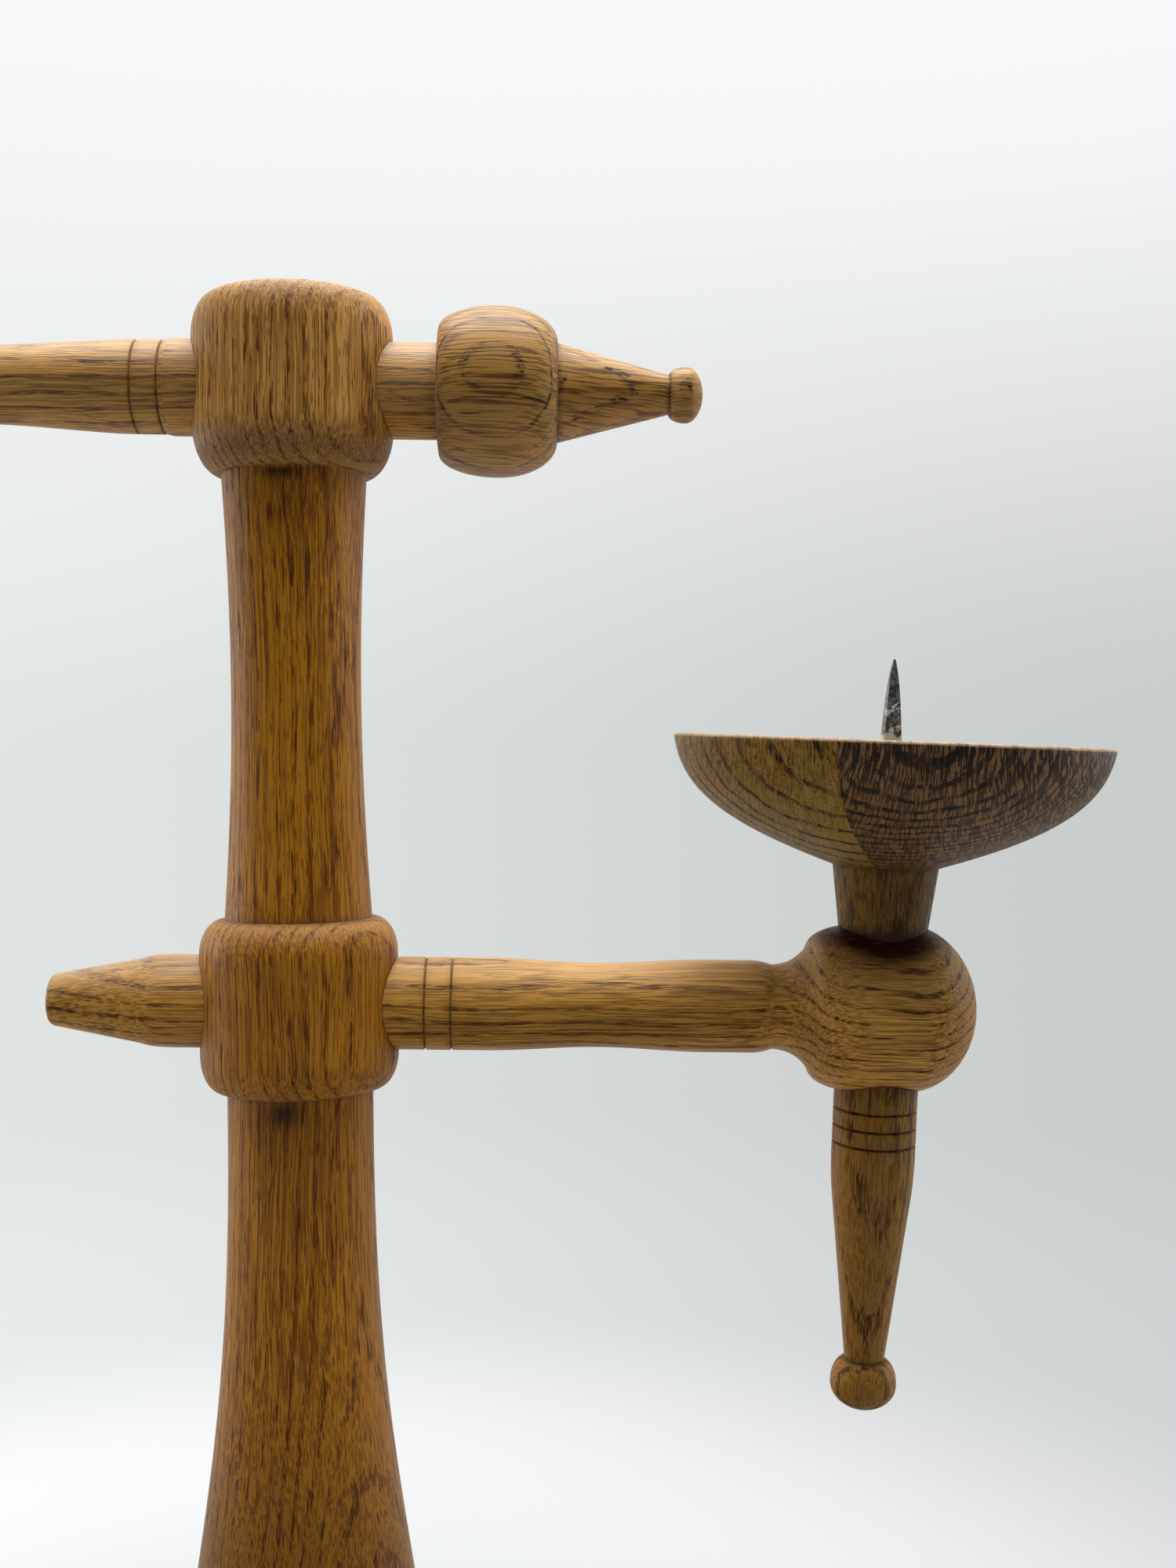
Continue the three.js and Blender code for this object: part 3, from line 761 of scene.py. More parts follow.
def timber(tree, lowest, *changes, **choices):
    """One board of oak: its colour, height and roughness.

    Its colours are the lowest ones up to each change, which is a height along the
    piece, a spread, and the colours above it.
    """
    colours = [tint(web) for web in lowest.split()]
    for height, spread, above in changes:
        along = split(tree, on_piece(tree))["Z"]
        share = ease(tree, along, (height - spread) * MM, (height + spread) * MM)
        layers = zip(colours, map(tint, above.split()))
        colours = [blend(tree, share, below, higher) for below, higher in layers]
    colours = dict(zip(("Light", "Dark", "Pore", "Pale"), colours))
    return add(tree, "Group", node_tree=oak_timber, **colours, **choices).outputs


def oil(tree, colour, height, roughness):
    """The oiled surface: satin, with its pores left open."""
    coat(tree, add(
        tree, "BsdfPrincipled", Base_Color=colour, Roughness=roughness,
        Normal=dents(tree, 0.8, 0.0002, height), IOR=1.45, Specular_IOR_Level=0.18,
        Sheen_Weight=0.08, Sheen_Roughness=0.25, Sheen_Tint=(1.0, 0.92, 0.6, 1.0),
    ))


def oak_finish(name, *colours, **choices):
    """An oiled finish cut from one board."""
    finish, tree = bare_finish(name)
    oil(tree, *timber(tree, *colours, **choices))
    return finish


# A board's colours are those of its light and dark fibres, its pores and its pale
# rays. Here the top hub has stayed khaki, the post below it has ripened to orange,
# and the flared foot is a plain brown
HUB_COLOURS = "d9a253 9e6b29 603711 be9562"
POST_COLOURS = "b97b12 7c4806 602e06 b08244"
FLARE_COLOURS = "875913 563207 472206 865e2c"
FLARE_FADE = 110
FLARE_FADE_SPREAD = 45
HUB_FADE_SPREAD = 1.5
lay_on(column, oak_finish(
    "column_oak", FLARE_COLOURS, (FLARE_FADE, FLARE_FADE_SPREAD, POST_COLOURS),
    (upper_hub_bottom, HUB_FADE_SPREAD, HUB_COLOURS),
    Pith=(-70.0, 38.0, 0.0), Year=3.0, Seed=13.0,
))
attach(column, "stand")
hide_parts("column")


# Round foot: a disc turned from a flat oak board, so its grain lies level, with
# a socket for the column's tenon and a countersunk hole underneath.
BASE_RADIUS = 76
BASE_ROUND_WIDTH = 11
BASE_ROUND_HEIGHT = 10
BASE_LOWER_ROUND = 4
BASE_RISE = 1.2
SCREW_HEAD_RADIUS = 4.6
SCREW_HEAD_HEIGHT = 3.2
SCREW_HEAD_DEPTH = 2.4
# How dark the painted shade round the column's foot is
FOOT_SHADE = 0.3
FOOT_COLOURS = "ab7a33 6d4714 4c2b0c 9c7544"
base_bottom = FELT_THICKNESS + SEAT
base_top = base_bottom + BASE_THICKNESS
screw_seat = base_bottom + SCREW_HEAD_DEPTH
socket_floor = FOOT_HEIGHT - TENON_LENGTH - SEAT

outline = [(SCREW_HEAD_RADIUS + SEAT, base_bottom)]
line_to(outline, (BASE_RADIUS - BASE_LOWER_ROUND, base_bottom), step=3.0)
round_to(outline, (BASE_RADIUS, base_bottom + BASE_LOWER_ROUND), True)
line_to(outline, (BASE_RADIUS, base_top - BASE_RISE - BASE_ROUND_HEIGHT))
round_to(outline, (BASE_RADIUS - BASE_ROUND_WIDTH, base_top - BASE_RISE), False)
line_to(
    outline,
    (FOOT_RADIUS, base_top),
    (TENON_RADIUS + SEAT, base_top),
    (TENON_RADIUS + SEAT, socket_floor),
    (SCREW_HOLE_RADIUS, socket_floor),
    (SCREW_HOLE_RADIUS, screw_seat + SCREW_HEAD_HEIGHT + SEAT),
    (SCREW_HEAD_RADIUS + SEAT, screw_seat + SEAT),
    (SCREW_HEAD_RADIUS + SEAT, base_bottom),
    step=3.0,
)


def weld_ends(body):
    """Joins the first and last ring of a ring-shaped turning."""
    work = bmesh.new()
    work.from_mesh(body.data)
    bmesh.ops.remove_doubles(work, verts=work.verts, dist=1e-7)
    work.to_mesh(body.data)
    work.free()


def foot_shade(points):
    """Painted shade in the crease round the column."""
    return FOOT_SHADE * smudge(points, (0, 0, base_top), (38, 38, 1.5))


base_disc = turn("turned_foot", outline)
weld_ends(base_disc)
polish(base_disc)
darken(base_disc, grime=foot_shade)
lay_on(base_disc, oak_finish(
    "foot_oak", FOOT_COLOURS,
    Pith=(12.0, -70.0, 0.0), Turn=(0.0, math.pi / 2, 0.0), Year=3.4, Seed=57.0,
))
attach(base_disc, "stand")
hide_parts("base_disc")


# Arms: each is one turning, grain along its length, with two scorched grooves
# beside the column, a slight waist, and a fat hub bored for the cup's stem.
REACH = 145.8
ARM_GROOVES = (31.6, 38.1)
ARM_GROOVE_WIDTH = 0.75
ARM_GROOVE_DEPTH = 0.45
GROOVE_FLOOR_WIDTH = 0.12
GROOVE_FLOOR_DEPTH = 0.8
WAIST_EASE = 9.5
NECK_RADIUS = 10.6
NECK_TO_HUB = 4.4
NECK_LEAD = 5
CANDLE_HUB_RADIUS = 21.05
CANDLE_HUB_INWARD = 23.3
CANDLE_HUB_OUTWARD = 23.95
FILLET_PULL = 1.6
FILLET_LENGTH = 5.25
FILLET_RADIUS = 15.8
INNER_ROUND = 13.1
OUTER_ROUND = 17.5
STEM_RADIUS = 10.5
STEM_SNUG = 0.12
CUP_NECK_TOP = 13.25
CUP_NECK_SEAT = 11.3
CUP_NECK_LENGTH = 14.9
LOWER_ARM_TURN = 1.26
LOWER_CUP_LEAN = 1.33
GROOVE_BURN = 0.6
GROOVE_BURN_SPREAD = 0.33
# Black round the stem, partly stain and partly the dish's painted shadow, and painted shade on the
# hub's outer end
STEM_STAIN_AND_SHADOW = 1.2
STAIN_AND_SHADOW_ABOVE = 6.8
STAIN_AND_SHADOW_BELOW = 1.2
HUB_END_SHADE = 0.2
# Painted sheen on the tops of the arms
TAIL_SHEEN = 0.75
ARM_SHEEN = 0.42
candle_start = REACH - CANDLE_HUB_INWARD
candle_end = REACH + CANDLE_HUB_OUTWARD
neck_top = CANDLE_HUB_RADIUS + CUP_NECK_LENGTH
neck_taper = (CUP_NECK_TOP - CUP_NECK_SEAT) / CUP_NECK_LENGTH
neck_end = CANDLE_HUB_RADIUS - (CUP_NECK_SEAT - STEM_RADIUS) / neck_taper


def scorched_groove(outline, radius, middle, width, depth):
    """A narrow V with a rounded floor, met at its middle on the way up."""
    line_to(outline, (radius, middle - width / 2))
    floor_radius = radius - depth * GROOVE_FLOOR_DEPTH
    outline += [
        (floor_radius, middle - width * GROOVE_FLOOR_WIDTH),
        (radius - depth, middle),
        (floor_radius, middle + width * GROOVE_FLOOR_WIDTH),
        (radius, middle + width / 2),
    ]


def outer_arm(outline, radius, waist, waist_start, waist_end):
    """The stretch that both arms share, from the grooves to the end of the candle hub."""
    neck = candle_start - NECK_TO_HUB
    middle = (waist_start + waist_end) / 2
    fillet_end = candle_start + FILLET_LENGTH
    for groove in ARM_GROOVES:
        scorched_groove(outline, radius, groove, ARM_GROOVE_WIDTH, ARM_GROOVE_DEPTH)
    line_to(outline, (radius, waist_start))
    curve_to(
        outline, (radius, waist_start + WAIST_EASE), (waist, middle - WAIST_EASE), (waist, middle)
    )
    curve_to(
        outline, (waist, middle + WAIST_EASE), (radius, waist_end - WAIST_EASE), (radius, waist_end)
    )
    line_to(outline, (radius, neck - NECK_LEAD))
    bend_to(outline, (radius, neck - NECK_LEAD / 2), (NECK_RADIUS, neck), steps=12)
    bend_to(outline, (NECK_RADIUS, candle_start + FILLET_PULL), (FILLET_RADIUS, fillet_end))
    round_to(outline, (CANDLE_HUB_RADIUS, fillet_end + INNER_ROUND), True)
    line_to(outline, (CANDLE_HUB_RADIUS, candle_end - OUTER_ROUND))
    round_to(outline, (0, candle_end), False)


def stem_borer(lean):
    """The cutter for a cup's stem: straight, with a tapered mouth at the top."""
    depth = CANDLE_HUB_RADIUS + STEM_RADIUS
    outline = [(0, -depth), (STEM_RADIUS + STEM_SNUG, -depth)]
    line_to(
        outline, (STEM_RADIUS + STEM_SNUG, neck_end), (CUP_NECK_TOP + STEM_SNUG, neck_top),
        step=2.0,
    )
    outline.append((0, neck_top))
    cutter = turn("stem_borer", outline, BORER_SIDES)
    cutter.matrix_world = tip(-90) @ Matrix.Translation((REACH * MM, 0, 0)) @ tip(lean)
    return cutter


def arm_burns_and_shade(points):
    """Scorched grooves, painted shade on the hub's outer end, and black round its stem, most of all
    on top, that is stain and the dish's painted shadow.
    """
    marks = [GROOVE_BURN * near_height(points, at, GROOVE_BURN_SPREAD) for at in ARM_GROOVES]
    from_stem = np.hypot(points[:, 2] - REACH, points[:, 1])
    spread = np.where(points[:, 0] < 0, STAIN_AND_SHADOW_ABOVE, STAIN_AND_SHADOW_BELOW)
    marks.append(STEM_STAIN_AND_SHADOW * np.exp(-((from_stem - STEM_RADIUS) / spread) ** 4))
    marks.append(HUB_END_SHADE * rise(points, REACH, lead=4, length=20))
    return np.maximum.reduce(marks)


def arm_sheen(points):
    """Painted sheen: how far the top of an arm is paled, its tail most of all."""
    upward = np.clip(-points[:, 0] / np.maximum(from_axis(points), 0.1), 0, 1)
    return upward ** 1.5 * np.where(points[:, 2] < 0, TAIL_SHEEN, ARM_SHEEN)


# An arm's oak is a little paler where it was left thick for the candle hub, and is painted lighter
# still there to offset the dish's shadow on it
ARM_COLOURS = "cf993f 7a4d10 552a09 b38850"
CANDLE_HUB_LIT_COLOURS = "e5ae50 966218 4c2508 b98f58"
CANDLE_HUB_FADE = (candle_start, 14, CANDLE_HUB_LIT_COLOURS)
ARM_TIMBER = {"Band": 1.0, "Scatter": 0.4, "Fibres": 0.9, "Pores": 0.95, "Lines": 0.7}


def make_arm(name, outline, cup_lean, sheen_and_wear, **board):
    """One arm, turned, bored for its cup's stem, scorched, given painted shade and painted sheen,
    and oiled.
    """
    arm = turn("turned_" + name, outline)
    cut_away(arm, stem_borer(cup_lean))
    polish(arm)
    darken(arm, grime=arm_burns_and_shade, worn=sheen_and_wear)
    lay_on(arm, oak_finish(name + "_oak", ARM_COLOURS, CANDLE_HUB_FADE, **ARM_TIMBER, **board))
    return arm


# Lower arm: its blunt tail is a cone that leads it through the hub from the
# right. It droops by a degree and is turned a little towards the front.
LOWER_WAIST = {"waist": 10.5, "waist_start": 47, "waist_end": 102}
TAIL_LENGTH = 61.7
TAIL_CONE = 31.1
TAIL_SHOULDER_LENGTH = 8.4
TAIL_SHOULDER_RADIUS = 10.55
TAIL_SHOULDER_EASE = 2.8
TAIL_TIP_RADIUS = 6.6
TAIL_TIP_ROUND = 2
tail_shoulder = -TAIL_LENGTH + TAIL_CONE - TAIL_SHOULDER_LENGTH
outline = [(0, -TAIL_LENGTH)]
line_to(outline, (TAIL_TIP_RADIUS - TAIL_TIP_ROUND, -TAIL_LENGTH))
round_to(outline, (TAIL_TIP_RADIUS, -TAIL_LENGTH + TAIL_TIP_ROUND), True)
line_to(outline, (TAIL_SHOULDER_RADIUS, tail_shoulder))
bend_to(
    outline,
    (LOWER_ARM_RADIUS, tail_shoulder + TAIL_SHOULDER_EASE),
    (LOWER_ARM_RADIUS, tail_shoulder + TAIL_SHOULDER_LENGTH),
)
outer_arm(outline, LOWER_ARM_RADIUS, **LOWER_WAIST)
lower_arm = make_arm(
    "lower_arm", outline, LOWER_CUP_LEAN, arm_sheen,
    Pith=(104.0, 30.0, 0.0), Year=3.4, Seed=101.0,
)
lower_lie = (
    Matrix.Translation((0, 0, LOWER_ARM_HEIGHT)) @ tip(LOWER_ARM_DROOP) @ tip(LOWER_ARM_TURN, "X")
)
lower_arm.matrix_world = in_mm(lower_lie @ tip(90))
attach(lower_arm, "lower_arm_set")
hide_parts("lower_arm")


# Upper arm: the same arm the other way round, with a tenon at its right end
# for the cap, which is glued on once the arm is through the hub.
CAP_FACE = 36.2
CAP_TENON_RADIUS = 8.5
CAP_TENON_LENGTH = 20
UPPER_OUTER_RADIUS = 11.5
UPPER_WAIST = {"waist": 9.6, "waist_start": 39.2, "waist_end": 111}
STEP_BEFORE_GROOVES = 2
outline = [(0, -CAP_FACE - CAP_TENON_LENGTH)]
line_to(
    outline,
    (CAP_TENON_RADIUS, -CAP_FACE - CAP_TENON_LENGTH),
    (CAP_TENON_RADIUS, -CAP_FACE),
    (UPPER_ARM_RADIUS, -CAP_FACE),
    (UPPER_ARM_RADIUS, ARM_GROOVES[0] - STEP_BEFORE_GROOVES),
)
outer_arm(outline, UPPER_OUTER_RADIUS, **UPPER_WAIST)


def upper_arm_tone_and_sheen(points):
    """The same painted sheen, stronger up here over a greyer tone all round, and a stretch beside
    the cap that has lost its oil.
    """
    beside_cap = np.clip(0.35 - points[:, 0] / 30, 0, 0.6)
    return np.where(points[:, 2] > 0, 0.2 + 1.1 * arm_sheen(points), beside_cap)


upper_arm = make_arm(
    "upper_arm", outline, 0, upper_arm_tone_and_sheen, Pith=(-92.0, 34.0, 0.0), Year=3.3, Seed=211.0
)
upper_lie = Matrix.Translation((0, 0, UPPER_ARM_HEIGHT)) @ tip(UPPER_ARM_DROOP)
upper_arm.matrix_world = in_mm(upper_lie @ (tip(180, "Z") @ tip(90)))
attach(upper_arm, "upper_arm_set")
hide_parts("upper_arm")


# Cap: a bead, a cone and a button in one turning, with a blind socket that
# is glued over the upper arm's tenon.
BEAD_RADIUS = 21
BEAD_LENGTH = 29.3
BEAD_WIDEST = 14.5
BEAD_FACE = 15.4
CONE_BASE = 12.2
CONE_LENGTH = 27.9
CONE_TIP = 4.85
BUTTON_RADIUS = 6.9
BUTTON_LENGTH = 8.5
SOCKET_EASE = 0.1
CAP_GAP = 0.05
CAP_COLOURS = "b5863f 5f390b 2f1705 a58052"
cap_start = CAP_FACE + CAP_GAP
bead_widest = CAP_FACE + SEAT + BEAD_WIDEST
cone_start = CAP_FACE + SEAT + BEAD_LENGTH
cone_end = cone_start + CONE_LENGTH
outline = [(0, CAP_FACE + CAP_TENON_LENGTH + SEAT)]
line_to(
    outline,
    (CAP_TENON_RADIUS + SOCKET_EASE, CAP_FACE + CAP_TENON_LENGTH + SEAT),
    (CAP_TENON_RADIUS + SOCKET_EASE, cap_start),
    (BEAD_FACE, cap_start),
)
round_to(outline, (BEAD_RADIUS, bead_widest), True)
round_to(outline, (CONE_BASE, cone_start), False)
line_to(outline, (CONE_TIP, cone_end))
round_to(outline, (BUTTON_RADIUS, cone_end + BUTTON_LENGTH / 2), True)
round_to(outline, (0, cone_end + BUTTON_LENGTH), False)
cap = turn("turned_cap", outline)
polish(cap)


def cap_shade(points):
    """Painted shade in the creases at either end of the cone."""
    creases = (near_height(points, cone_start, 0.5), near_height(points, cone_end, 0.4))
    return 0.5 * np.maximum(*creases)


def cap_sheen(points):
    """The cap paled most at its top and underside: painted sheen on top and painted bounce light
    below.
    """
    upright = np.abs(points[:, 0]) / np.maximum(from_axis(points), 0.1)
    return 0.34 * upright ** 1.5


darken(cap, grime=cap_shade, worn=cap_sheen)
lay_on(cap, oak_finish(
    "cap_oak", CAP_COLOURS, Pith=(4.0, 72.0, 0.0), Year=4.17, Seed=307.0, Rings=0.6,
    Band=0.75, Scatter=0.25, Fibres=1.3, Lines=1.0, Leaves=8.0, Pores=1.0,
))
cap.matrix_world = in_mm(upper_lie @ tip(90))
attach(cap, "upper_arm_set")
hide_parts("upper_arm_cap")


# Cups: dish, tapered neck, grooved stem and knob in one turning, from a blank
# glued up of two oak boards. Each drops into its arm's hub from above.
DISH_RADIUS = 54.5
DISH_HEIGHT = 31.6
DISH_UNDER_RADIUS = 40.4
DISH_UNDER_RISE = 9.1
DISH_SIDE_RADIUS = 52.1
DISH_SIDE_RISE = 16.9
DISH_LIP = 3.6
DISH_EDGE = 0.9
DISH_HOLLOW = 13.4
HOLLOW_WALL_RADIUS = 48.4
HOLLOW_WALL_DEPTH = 9.6
HOLLOW_FLOOR_RADIUS = 45.2
DISH_FLOOR_RADIUS = 38
STEM_GROOVE_SPACING = 4.35
STEM_GROOVE_WIDTH = 0.8
STEM_GROOVE_DEPTH = 0.5
STEM_STRAIGHT = 15.9
STEM_BEND = 12.2
STEM_BEND_DROP = 0.75
STEM_TAPER = 40.6
STEM_TIP = 5
KNOB_RADIUS = 8.35
KNOB_HEIGHT = 12.6
KNOB_WIDEST = 6.2
dish_rim = neck_top + DISH_HEIGHT
dish_floor = dish_rim - DISH_HOLLOW
inner_lip = DISH_RADIUS - DISH_LIP
stem_grooves = [
    -CANDLE_HUB_RADIUS - STEM_GROOVE_SPACING - k * STEM_GROOVE_SPACING for k in (2, 1, 0)
]
bend_start = -CANDLE_HUB_RADIUS - STEM_STRAIGHT
bend_end = bend_start - STEM_BEND
knob_top = bend_end - STEM_TAPER

cup_outline = [(0, knob_top - KNOB_HEIGHT)]
round_to(cup_outline, (KNOB_RADIUS, knob_top - KNOB_WIDEST), True)
round_to(cup_outline, (STEM_TIP, knob_top), False)
line_to(cup_outline, (STEM_RADIUS - STEM_BEND_DROP, bend_end))
bend_to(cup_outline, (STEM_RADIUS, (bend_start + bend_end) / 2), (STEM_RADIUS, bend_start))
for height in stem_grooves:
    scorched_groove(cup_outline, STEM_RADIUS, height, STEM_GROOVE_WIDTH, STEM_GROOVE_DEPTH)
line_to(cup_outline, (STEM_RADIUS, neck_end), (CUP_NECK_TOP, neck_top))
curve_to(
    cup_outline,
    (DISH_UNDER_RADIUS, neck_top + DISH_UNDER_RISE),
    (DISH_SIDE_RADIUS, neck_top + DISH_SIDE_RISE),
    (DISH_RADIUS, dish_rim - DISH_EDGE),
    steps=64,
)
bend_to(cup_outline, (DISH_RADIUS, dish_rim), (DISH_RADIUS - DISH_EDGE, dish_rim), steps=5)
line_to(cup_outline, (inner_lip + DISH_EDGE, dish_rim))
bend_to(cup_outline, (inner_lip, dish_rim), (inner_lip, dish_rim - DISH_EDGE), steps=5)
curve_to(
    cup_outline,
    (HOLLOW_WALL_RADIUS, dish_rim - HOLLOW_WALL_DEPTH),
    (HOLLOW_FLOOR_RADIUS, dish_floor),
    (DISH_FLOOR_RADIUS, dish_floor),
    steps=40,
)
line_to(cup_outline, (0, dish_floor), step=2.0)

# How dark the painted shade in each crease of the stem, its stained and shaded seat and each
# scorched groove is, its height, and over how many mm it fades
STEM_CREASES = [
    (0.5, neck_top, 0.5),
    (0.6, knob_top, 0.4),
    (1.2, CANDLE_HUB_RADIUS - 2.4, 2.0),
    *((0.8, height, 0.27) for height in stem_grooves),
]
WIDEST_STEM = 16
# A painted highlight along the dish's rim, and old wax inside it
RIM_HIGHLIGHT = 0.9
HOLLOW_BLOOM = 0.4


def cup_burns_and_shade(points):
    """Scorched grooves, painted shade in the creases at the knob and under the dish, and the seat
    darkened by stain and painted shade.
    """
    marks = [depth * near_height(points, *spot) for depth, *spot in STEM_CREASES]
    return np.maximum.reduce(marks) * (from_axis(points) < WIDEST_STEM)


def dish_wax_and_highlight(points):
    """A painted highlight along the rim, and old wax that has left the inside of the dish a little
    pale.
    """
    above_floor = np.clip((points[:, 2] - dish_floor) / DISH_HOLLOW, 0, 1)
    wall = HOLLOW_FLOOR_RADIUS + above_floor * (inner_lip - HOLLOW_FLOOR_RADIUS)
    inside = (points[:, 2] > dish_floor - 0.5) & (from_axis(points) < wall + 0.8)
    return np.where(points[:, 2] > dish_rim - 0.6, RIM_HIGHLIGHT, HOLLOW_BLOOM * inside)


LEFT_BOARD = "94670a 4b2d01 241100 a4894c"
LEFT_NECK = "7b540a 492d01 2a1501 8a6a30"
RIGHT_NECK = "69460c 341d01 1e0e01 75531c"
RIGHT_BOARD = "381d05 140700 080200 886540"
STEM_COLOURS = "a07124 6d4608 482806 977038"
GLUE = "2a1a0e"
GLUE_TURN = math.radians(25.4)
GLUE_SHIFT = 1.0
JOINT_HALF = 0.00004
STEM_FADE = (-CANDLE_HUB_RADIUS, 6)
DISH_FADE = (neck_top + 2, 2)

# The two boards are parted by a glue line that stands upright through the blank
cup_oak, tree = bare_finish("cup_oak")
left = timber(
    tree, STEM_COLOURS, (*STEM_FADE, LEFT_NECK), (*DISH_FADE, LEFT_BOARD),
    Pith=(-60.0, -140.0, 0.0), Year=5.2, Seed=401.0, Rays=0.55, Rings=1.0, Pores=1.0,
    Fibres=1.25, Band=1.4, Scatter=0.5, Tremble=0.3, Lines=0.4,
)
right = timber(
    tree, STEM_COLOURS, (*STEM_FADE, RIGHT_NECK), (*DISH_FADE, RIGHT_BOARD),
    Pith=(-18.0, -180.0, 0.0), Year=2.8, Seed=503.0, Rays=1.0, Rings=1.0,
    Fibres=1.1, Band=1.15, Tremble=0.3, Lines=0.4,
)
place = split(tree, on_piece(tree))
side = reckon(tree, "MULTIPLY", place["X"], math.cos(GLUE_TURN))
side = reckon(tree, "MULTIPLY_ADD", place["Y"], -math.sin(GLUE_TURN), side)
side = reckon(tree, "SUBTRACT", side, GLUE_SHIFT * MM)
share = ease(tree, side, -JOINT_HALF, JOINT_HALF)
glue = ease(tree, reckon(tree, "ABSOLUTE", side), 0.0001, 0.00025, 0.3, 0.0)
colour = blend(tree, glue, blend(tree, share, left["Color"], right["Color"]), tint(GLUE))
height = blend(tree, share, left["Height"], right["Height"], "FLOAT")
oil(tree, colour, height, left["Roughness"])

SPIKE_WIDTH = 4.8
SPIKE_SHANK = 12
HOLE_ABOVE_FLOOR = 5
hole_foot = dish_floor - SPIKE_SHANK - SEAT
hole_corner = SPIKE_WIDTH / 2 / math.cos(math.pi / 4) + 0.1
hole_foot_corner = SPIKE_WIDTH * 0.36


def turn_cup(name, lie, body, node):
    """One cup with the square hole for its spike, set in its arm."""
    cup = turn(name, cup_outline)
    hole = turn("spike_hole", [
        (0, hole_foot),
        (hole_foot_corner, hole_foot),
        (hole_corner, dish_floor),
        (hole_corner, dish_floor + HOLE_ABOVE_FLOOR),
        (0, dish_floor + HOLE_ABOVE_FLOOR),
    ], around=4)
    hole.matrix_world = tip(45, "Z")
    cut_away(cup, hole)
    polish(cup)
    darken(cup, grime=cup_burns_and_shade, worn=dish_wax_and_highlight)
    lay_on(cup, cup_oak)
    cup.matrix_world = in_mm(lie)
    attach(cup, body)
    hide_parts(node)


lower_cup_lie = lower_lie @ Matrix.Translation((REACH, 0, 0)) @ tip(LOWER_CUP_LEAN)
upper_cup_lie = upper_lie @ Matrix.Translation((-REACH, 0, 0))
turn_cup("turned_lower_cup", lower_cup_lie, "lower_cup_set", "lower_cup")
turn_cup("turned_upper_cup", upper_cup_lie, "upper_cup_set", "upper_cup")


# Spikes: square iron, drawn out to a point by hammering, driven into the dish.
# Dark, with old wax rubbed white along the faces.
SPIKE_ABOVE_RIM = 20.4
SPIKE_TIP_WIDTH = 0.5
SPIKE_SWELL_WIDTH = 3.5
SPIKE_SWELL_RISE = 14.5
SPIKE_SHANK_TIP = 3.4
SPIKE_SIDES = 24
SHARPEST_CORNER = 1.28
IRON_DARK = "454a48"
IRON_PALE = "868b88"
RUBBED_WAX = "c9cbc4"


def waxed_iron():
    """Hammered iron, with wax most of all at its foot and none at its point."""
    finish, tree = bare_finish("waxed_iron")
    place = on_piece(tree)
    scale = noise(tree, place, 900.0, detail=4.0)["Fac"]
    marks = noise(tree, place, 420.0, detail=5.0, roughness=0.7)["Fac"]
    up_spike = split(tree, place)["Z"]
    foot_wax = ease(tree, up_spike, dish_rim * MM, (dish_rim + 4) * MM, 0.12, 0.0)
    bare_tip = ease(tree, up_spike, (dish_rim + 10) * MM, (dish_rim + 16) * MM, 0.0, -0.16)
    wax = reckon(tree, "ADD", marks, reckon(tree, "ADD", foot_wax, bare_tip))
    wax = ease(tree, wax, 0.53, 0.59)
    tone = blend(tree, ease(tree, scale, 0.35, 0.65), tint(IRON_DARK), tint(IRON_PALE))
    tone = blend(tree, reckon(tree, "MULTIPLY", wax, 0.8), tone, tint(RUBBED_WAX))
    coat(tree, add(
        tree, "BsdfPrincipled", Base_Color=tone,
        Normal=dents(tree, 0.6, 0.0002, reckon(tree, "ADD", scale, wax)),
        Metallic=reckon(tree, "MULTIPLY_ADD", wax, -0.85, 0.85),
        Roughness=reckon(tree, "MULTIPLY_ADD", wax, 0.15, 0.45),
    ))
    return finish


iron = waxed_iron()


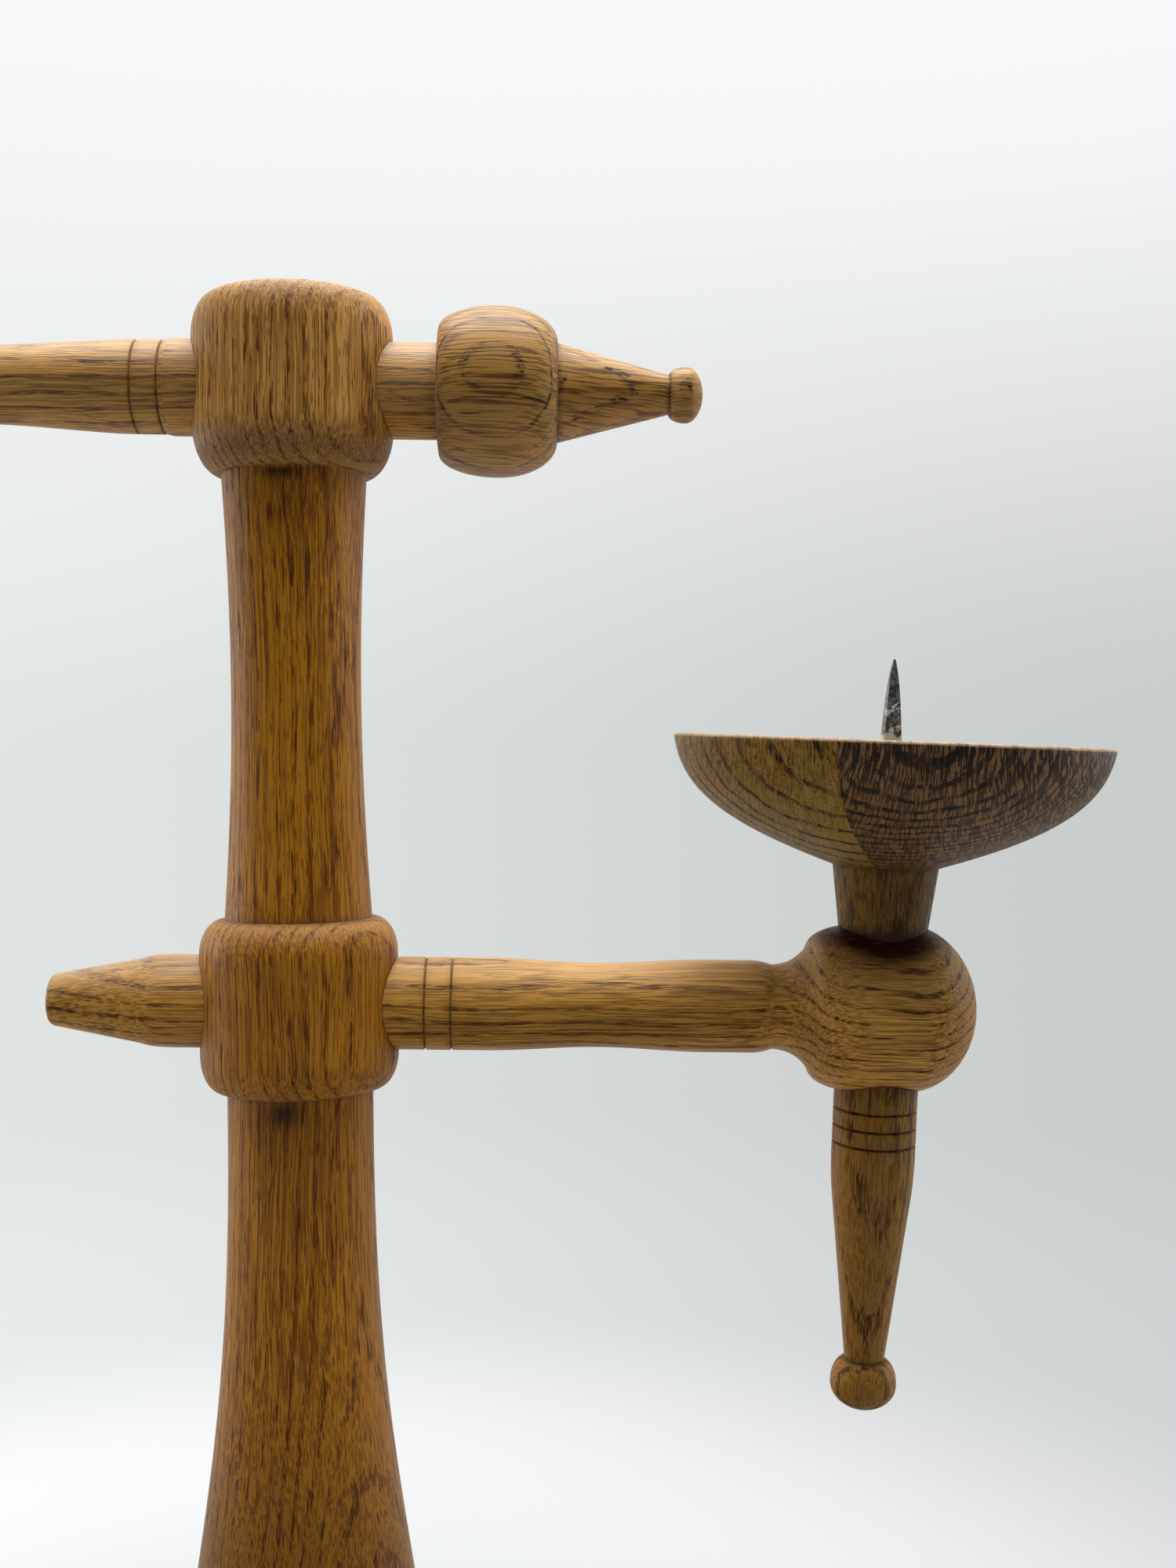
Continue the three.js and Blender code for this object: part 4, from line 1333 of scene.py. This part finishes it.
def forged_spike(name, lie, body, node):
    """A tapered square spike with softly hammered edges."""
    shank_foot = dish_floor - SPIKE_SHANK
    spike_tip = dish_rim + SPIKE_ABOVE_RIM
    swell = (SPIKE_SWELL_WIDTH / 2, dish_rim + SPIKE_SWELL_RISE)
    outline = [(0, shank_foot), (SPIKE_SHANK_TIP / 2, shank_foot)]
    line_to(outline, (SPIKE_WIDTH / 2, dish_floor), (SPIKE_WIDTH / 2, dish_rim))
    bend_to(outline, swell, (SPIKE_TIP_WIDTH / 2, spike_tip), steps=40)
    outline.append((0, spike_tip))
    spike = turn(name, outline, SPIKE_SIDES)
    for vertex in spike.data.vertices:
        angle = math.atan2(vertex.co.y, vertex.co.x)
        square = 1 / max(abs(math.cos(angle)), abs(math.sin(angle)))
        vertex.co.x *= min(square, SHARPEST_CORNER)
        vertex.co.y *= min(square, SHARPEST_CORNER)
    polish(spike, 50)
    lay_on(spike, iron)
    spike.matrix_world = in_mm(lie)
    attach(spike, body)
    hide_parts(node)


forged_spike("forged_lower_spike", lower_cup_lie, "lower_cup_set", "lower_spike")
forged_spike("forged_upper_spike", upper_cup_lie, "upper_cup_set", "upper_spike")


# Felt: a thin disc glued under the foot, and the zinc-plated screw that holds
# the column, hidden between the two.
FELT_DARK = "33402f"
FELT_PALE = "5a6a54"
ZINC_DARK = "8f9396"
ZINC_PALE = "c3c6c8"
felt, tree = bare_finish("green_felt")
fluff = noise(tree, on_piece(tree), 1600.0, detail=4.0, roughness=0.7)["Fac"]
coat(tree, add(
    tree, "BsdfPrincipled", Base_Color=blend(tree, fluff, tint(FELT_DARK), tint(FELT_PALE)),
    Normal=dents(tree, 0.8, 0.0003, fluff), Roughness=0.95, Sheen_Weight=0.4,
))

zinc, tree = bare_finish("zinc_plate")
cloudy = noise(tree, on_piece(tree), 500.0, detail=3.0)["Fac"]
coat(tree, add(
    tree, "BsdfPrincipled", Metallic=1.0,
    Base_Color=blend(tree, cloudy, tint(ZINC_DARK), tint(ZINC_PALE)),
    Roughness=ease(tree, cloudy, 0.3, 0.7, 0.28, 0.45),
))

for node, finish in (("base_felt", felt), ("base_screw", zinc)):
    lay_on(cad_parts[node], finish)
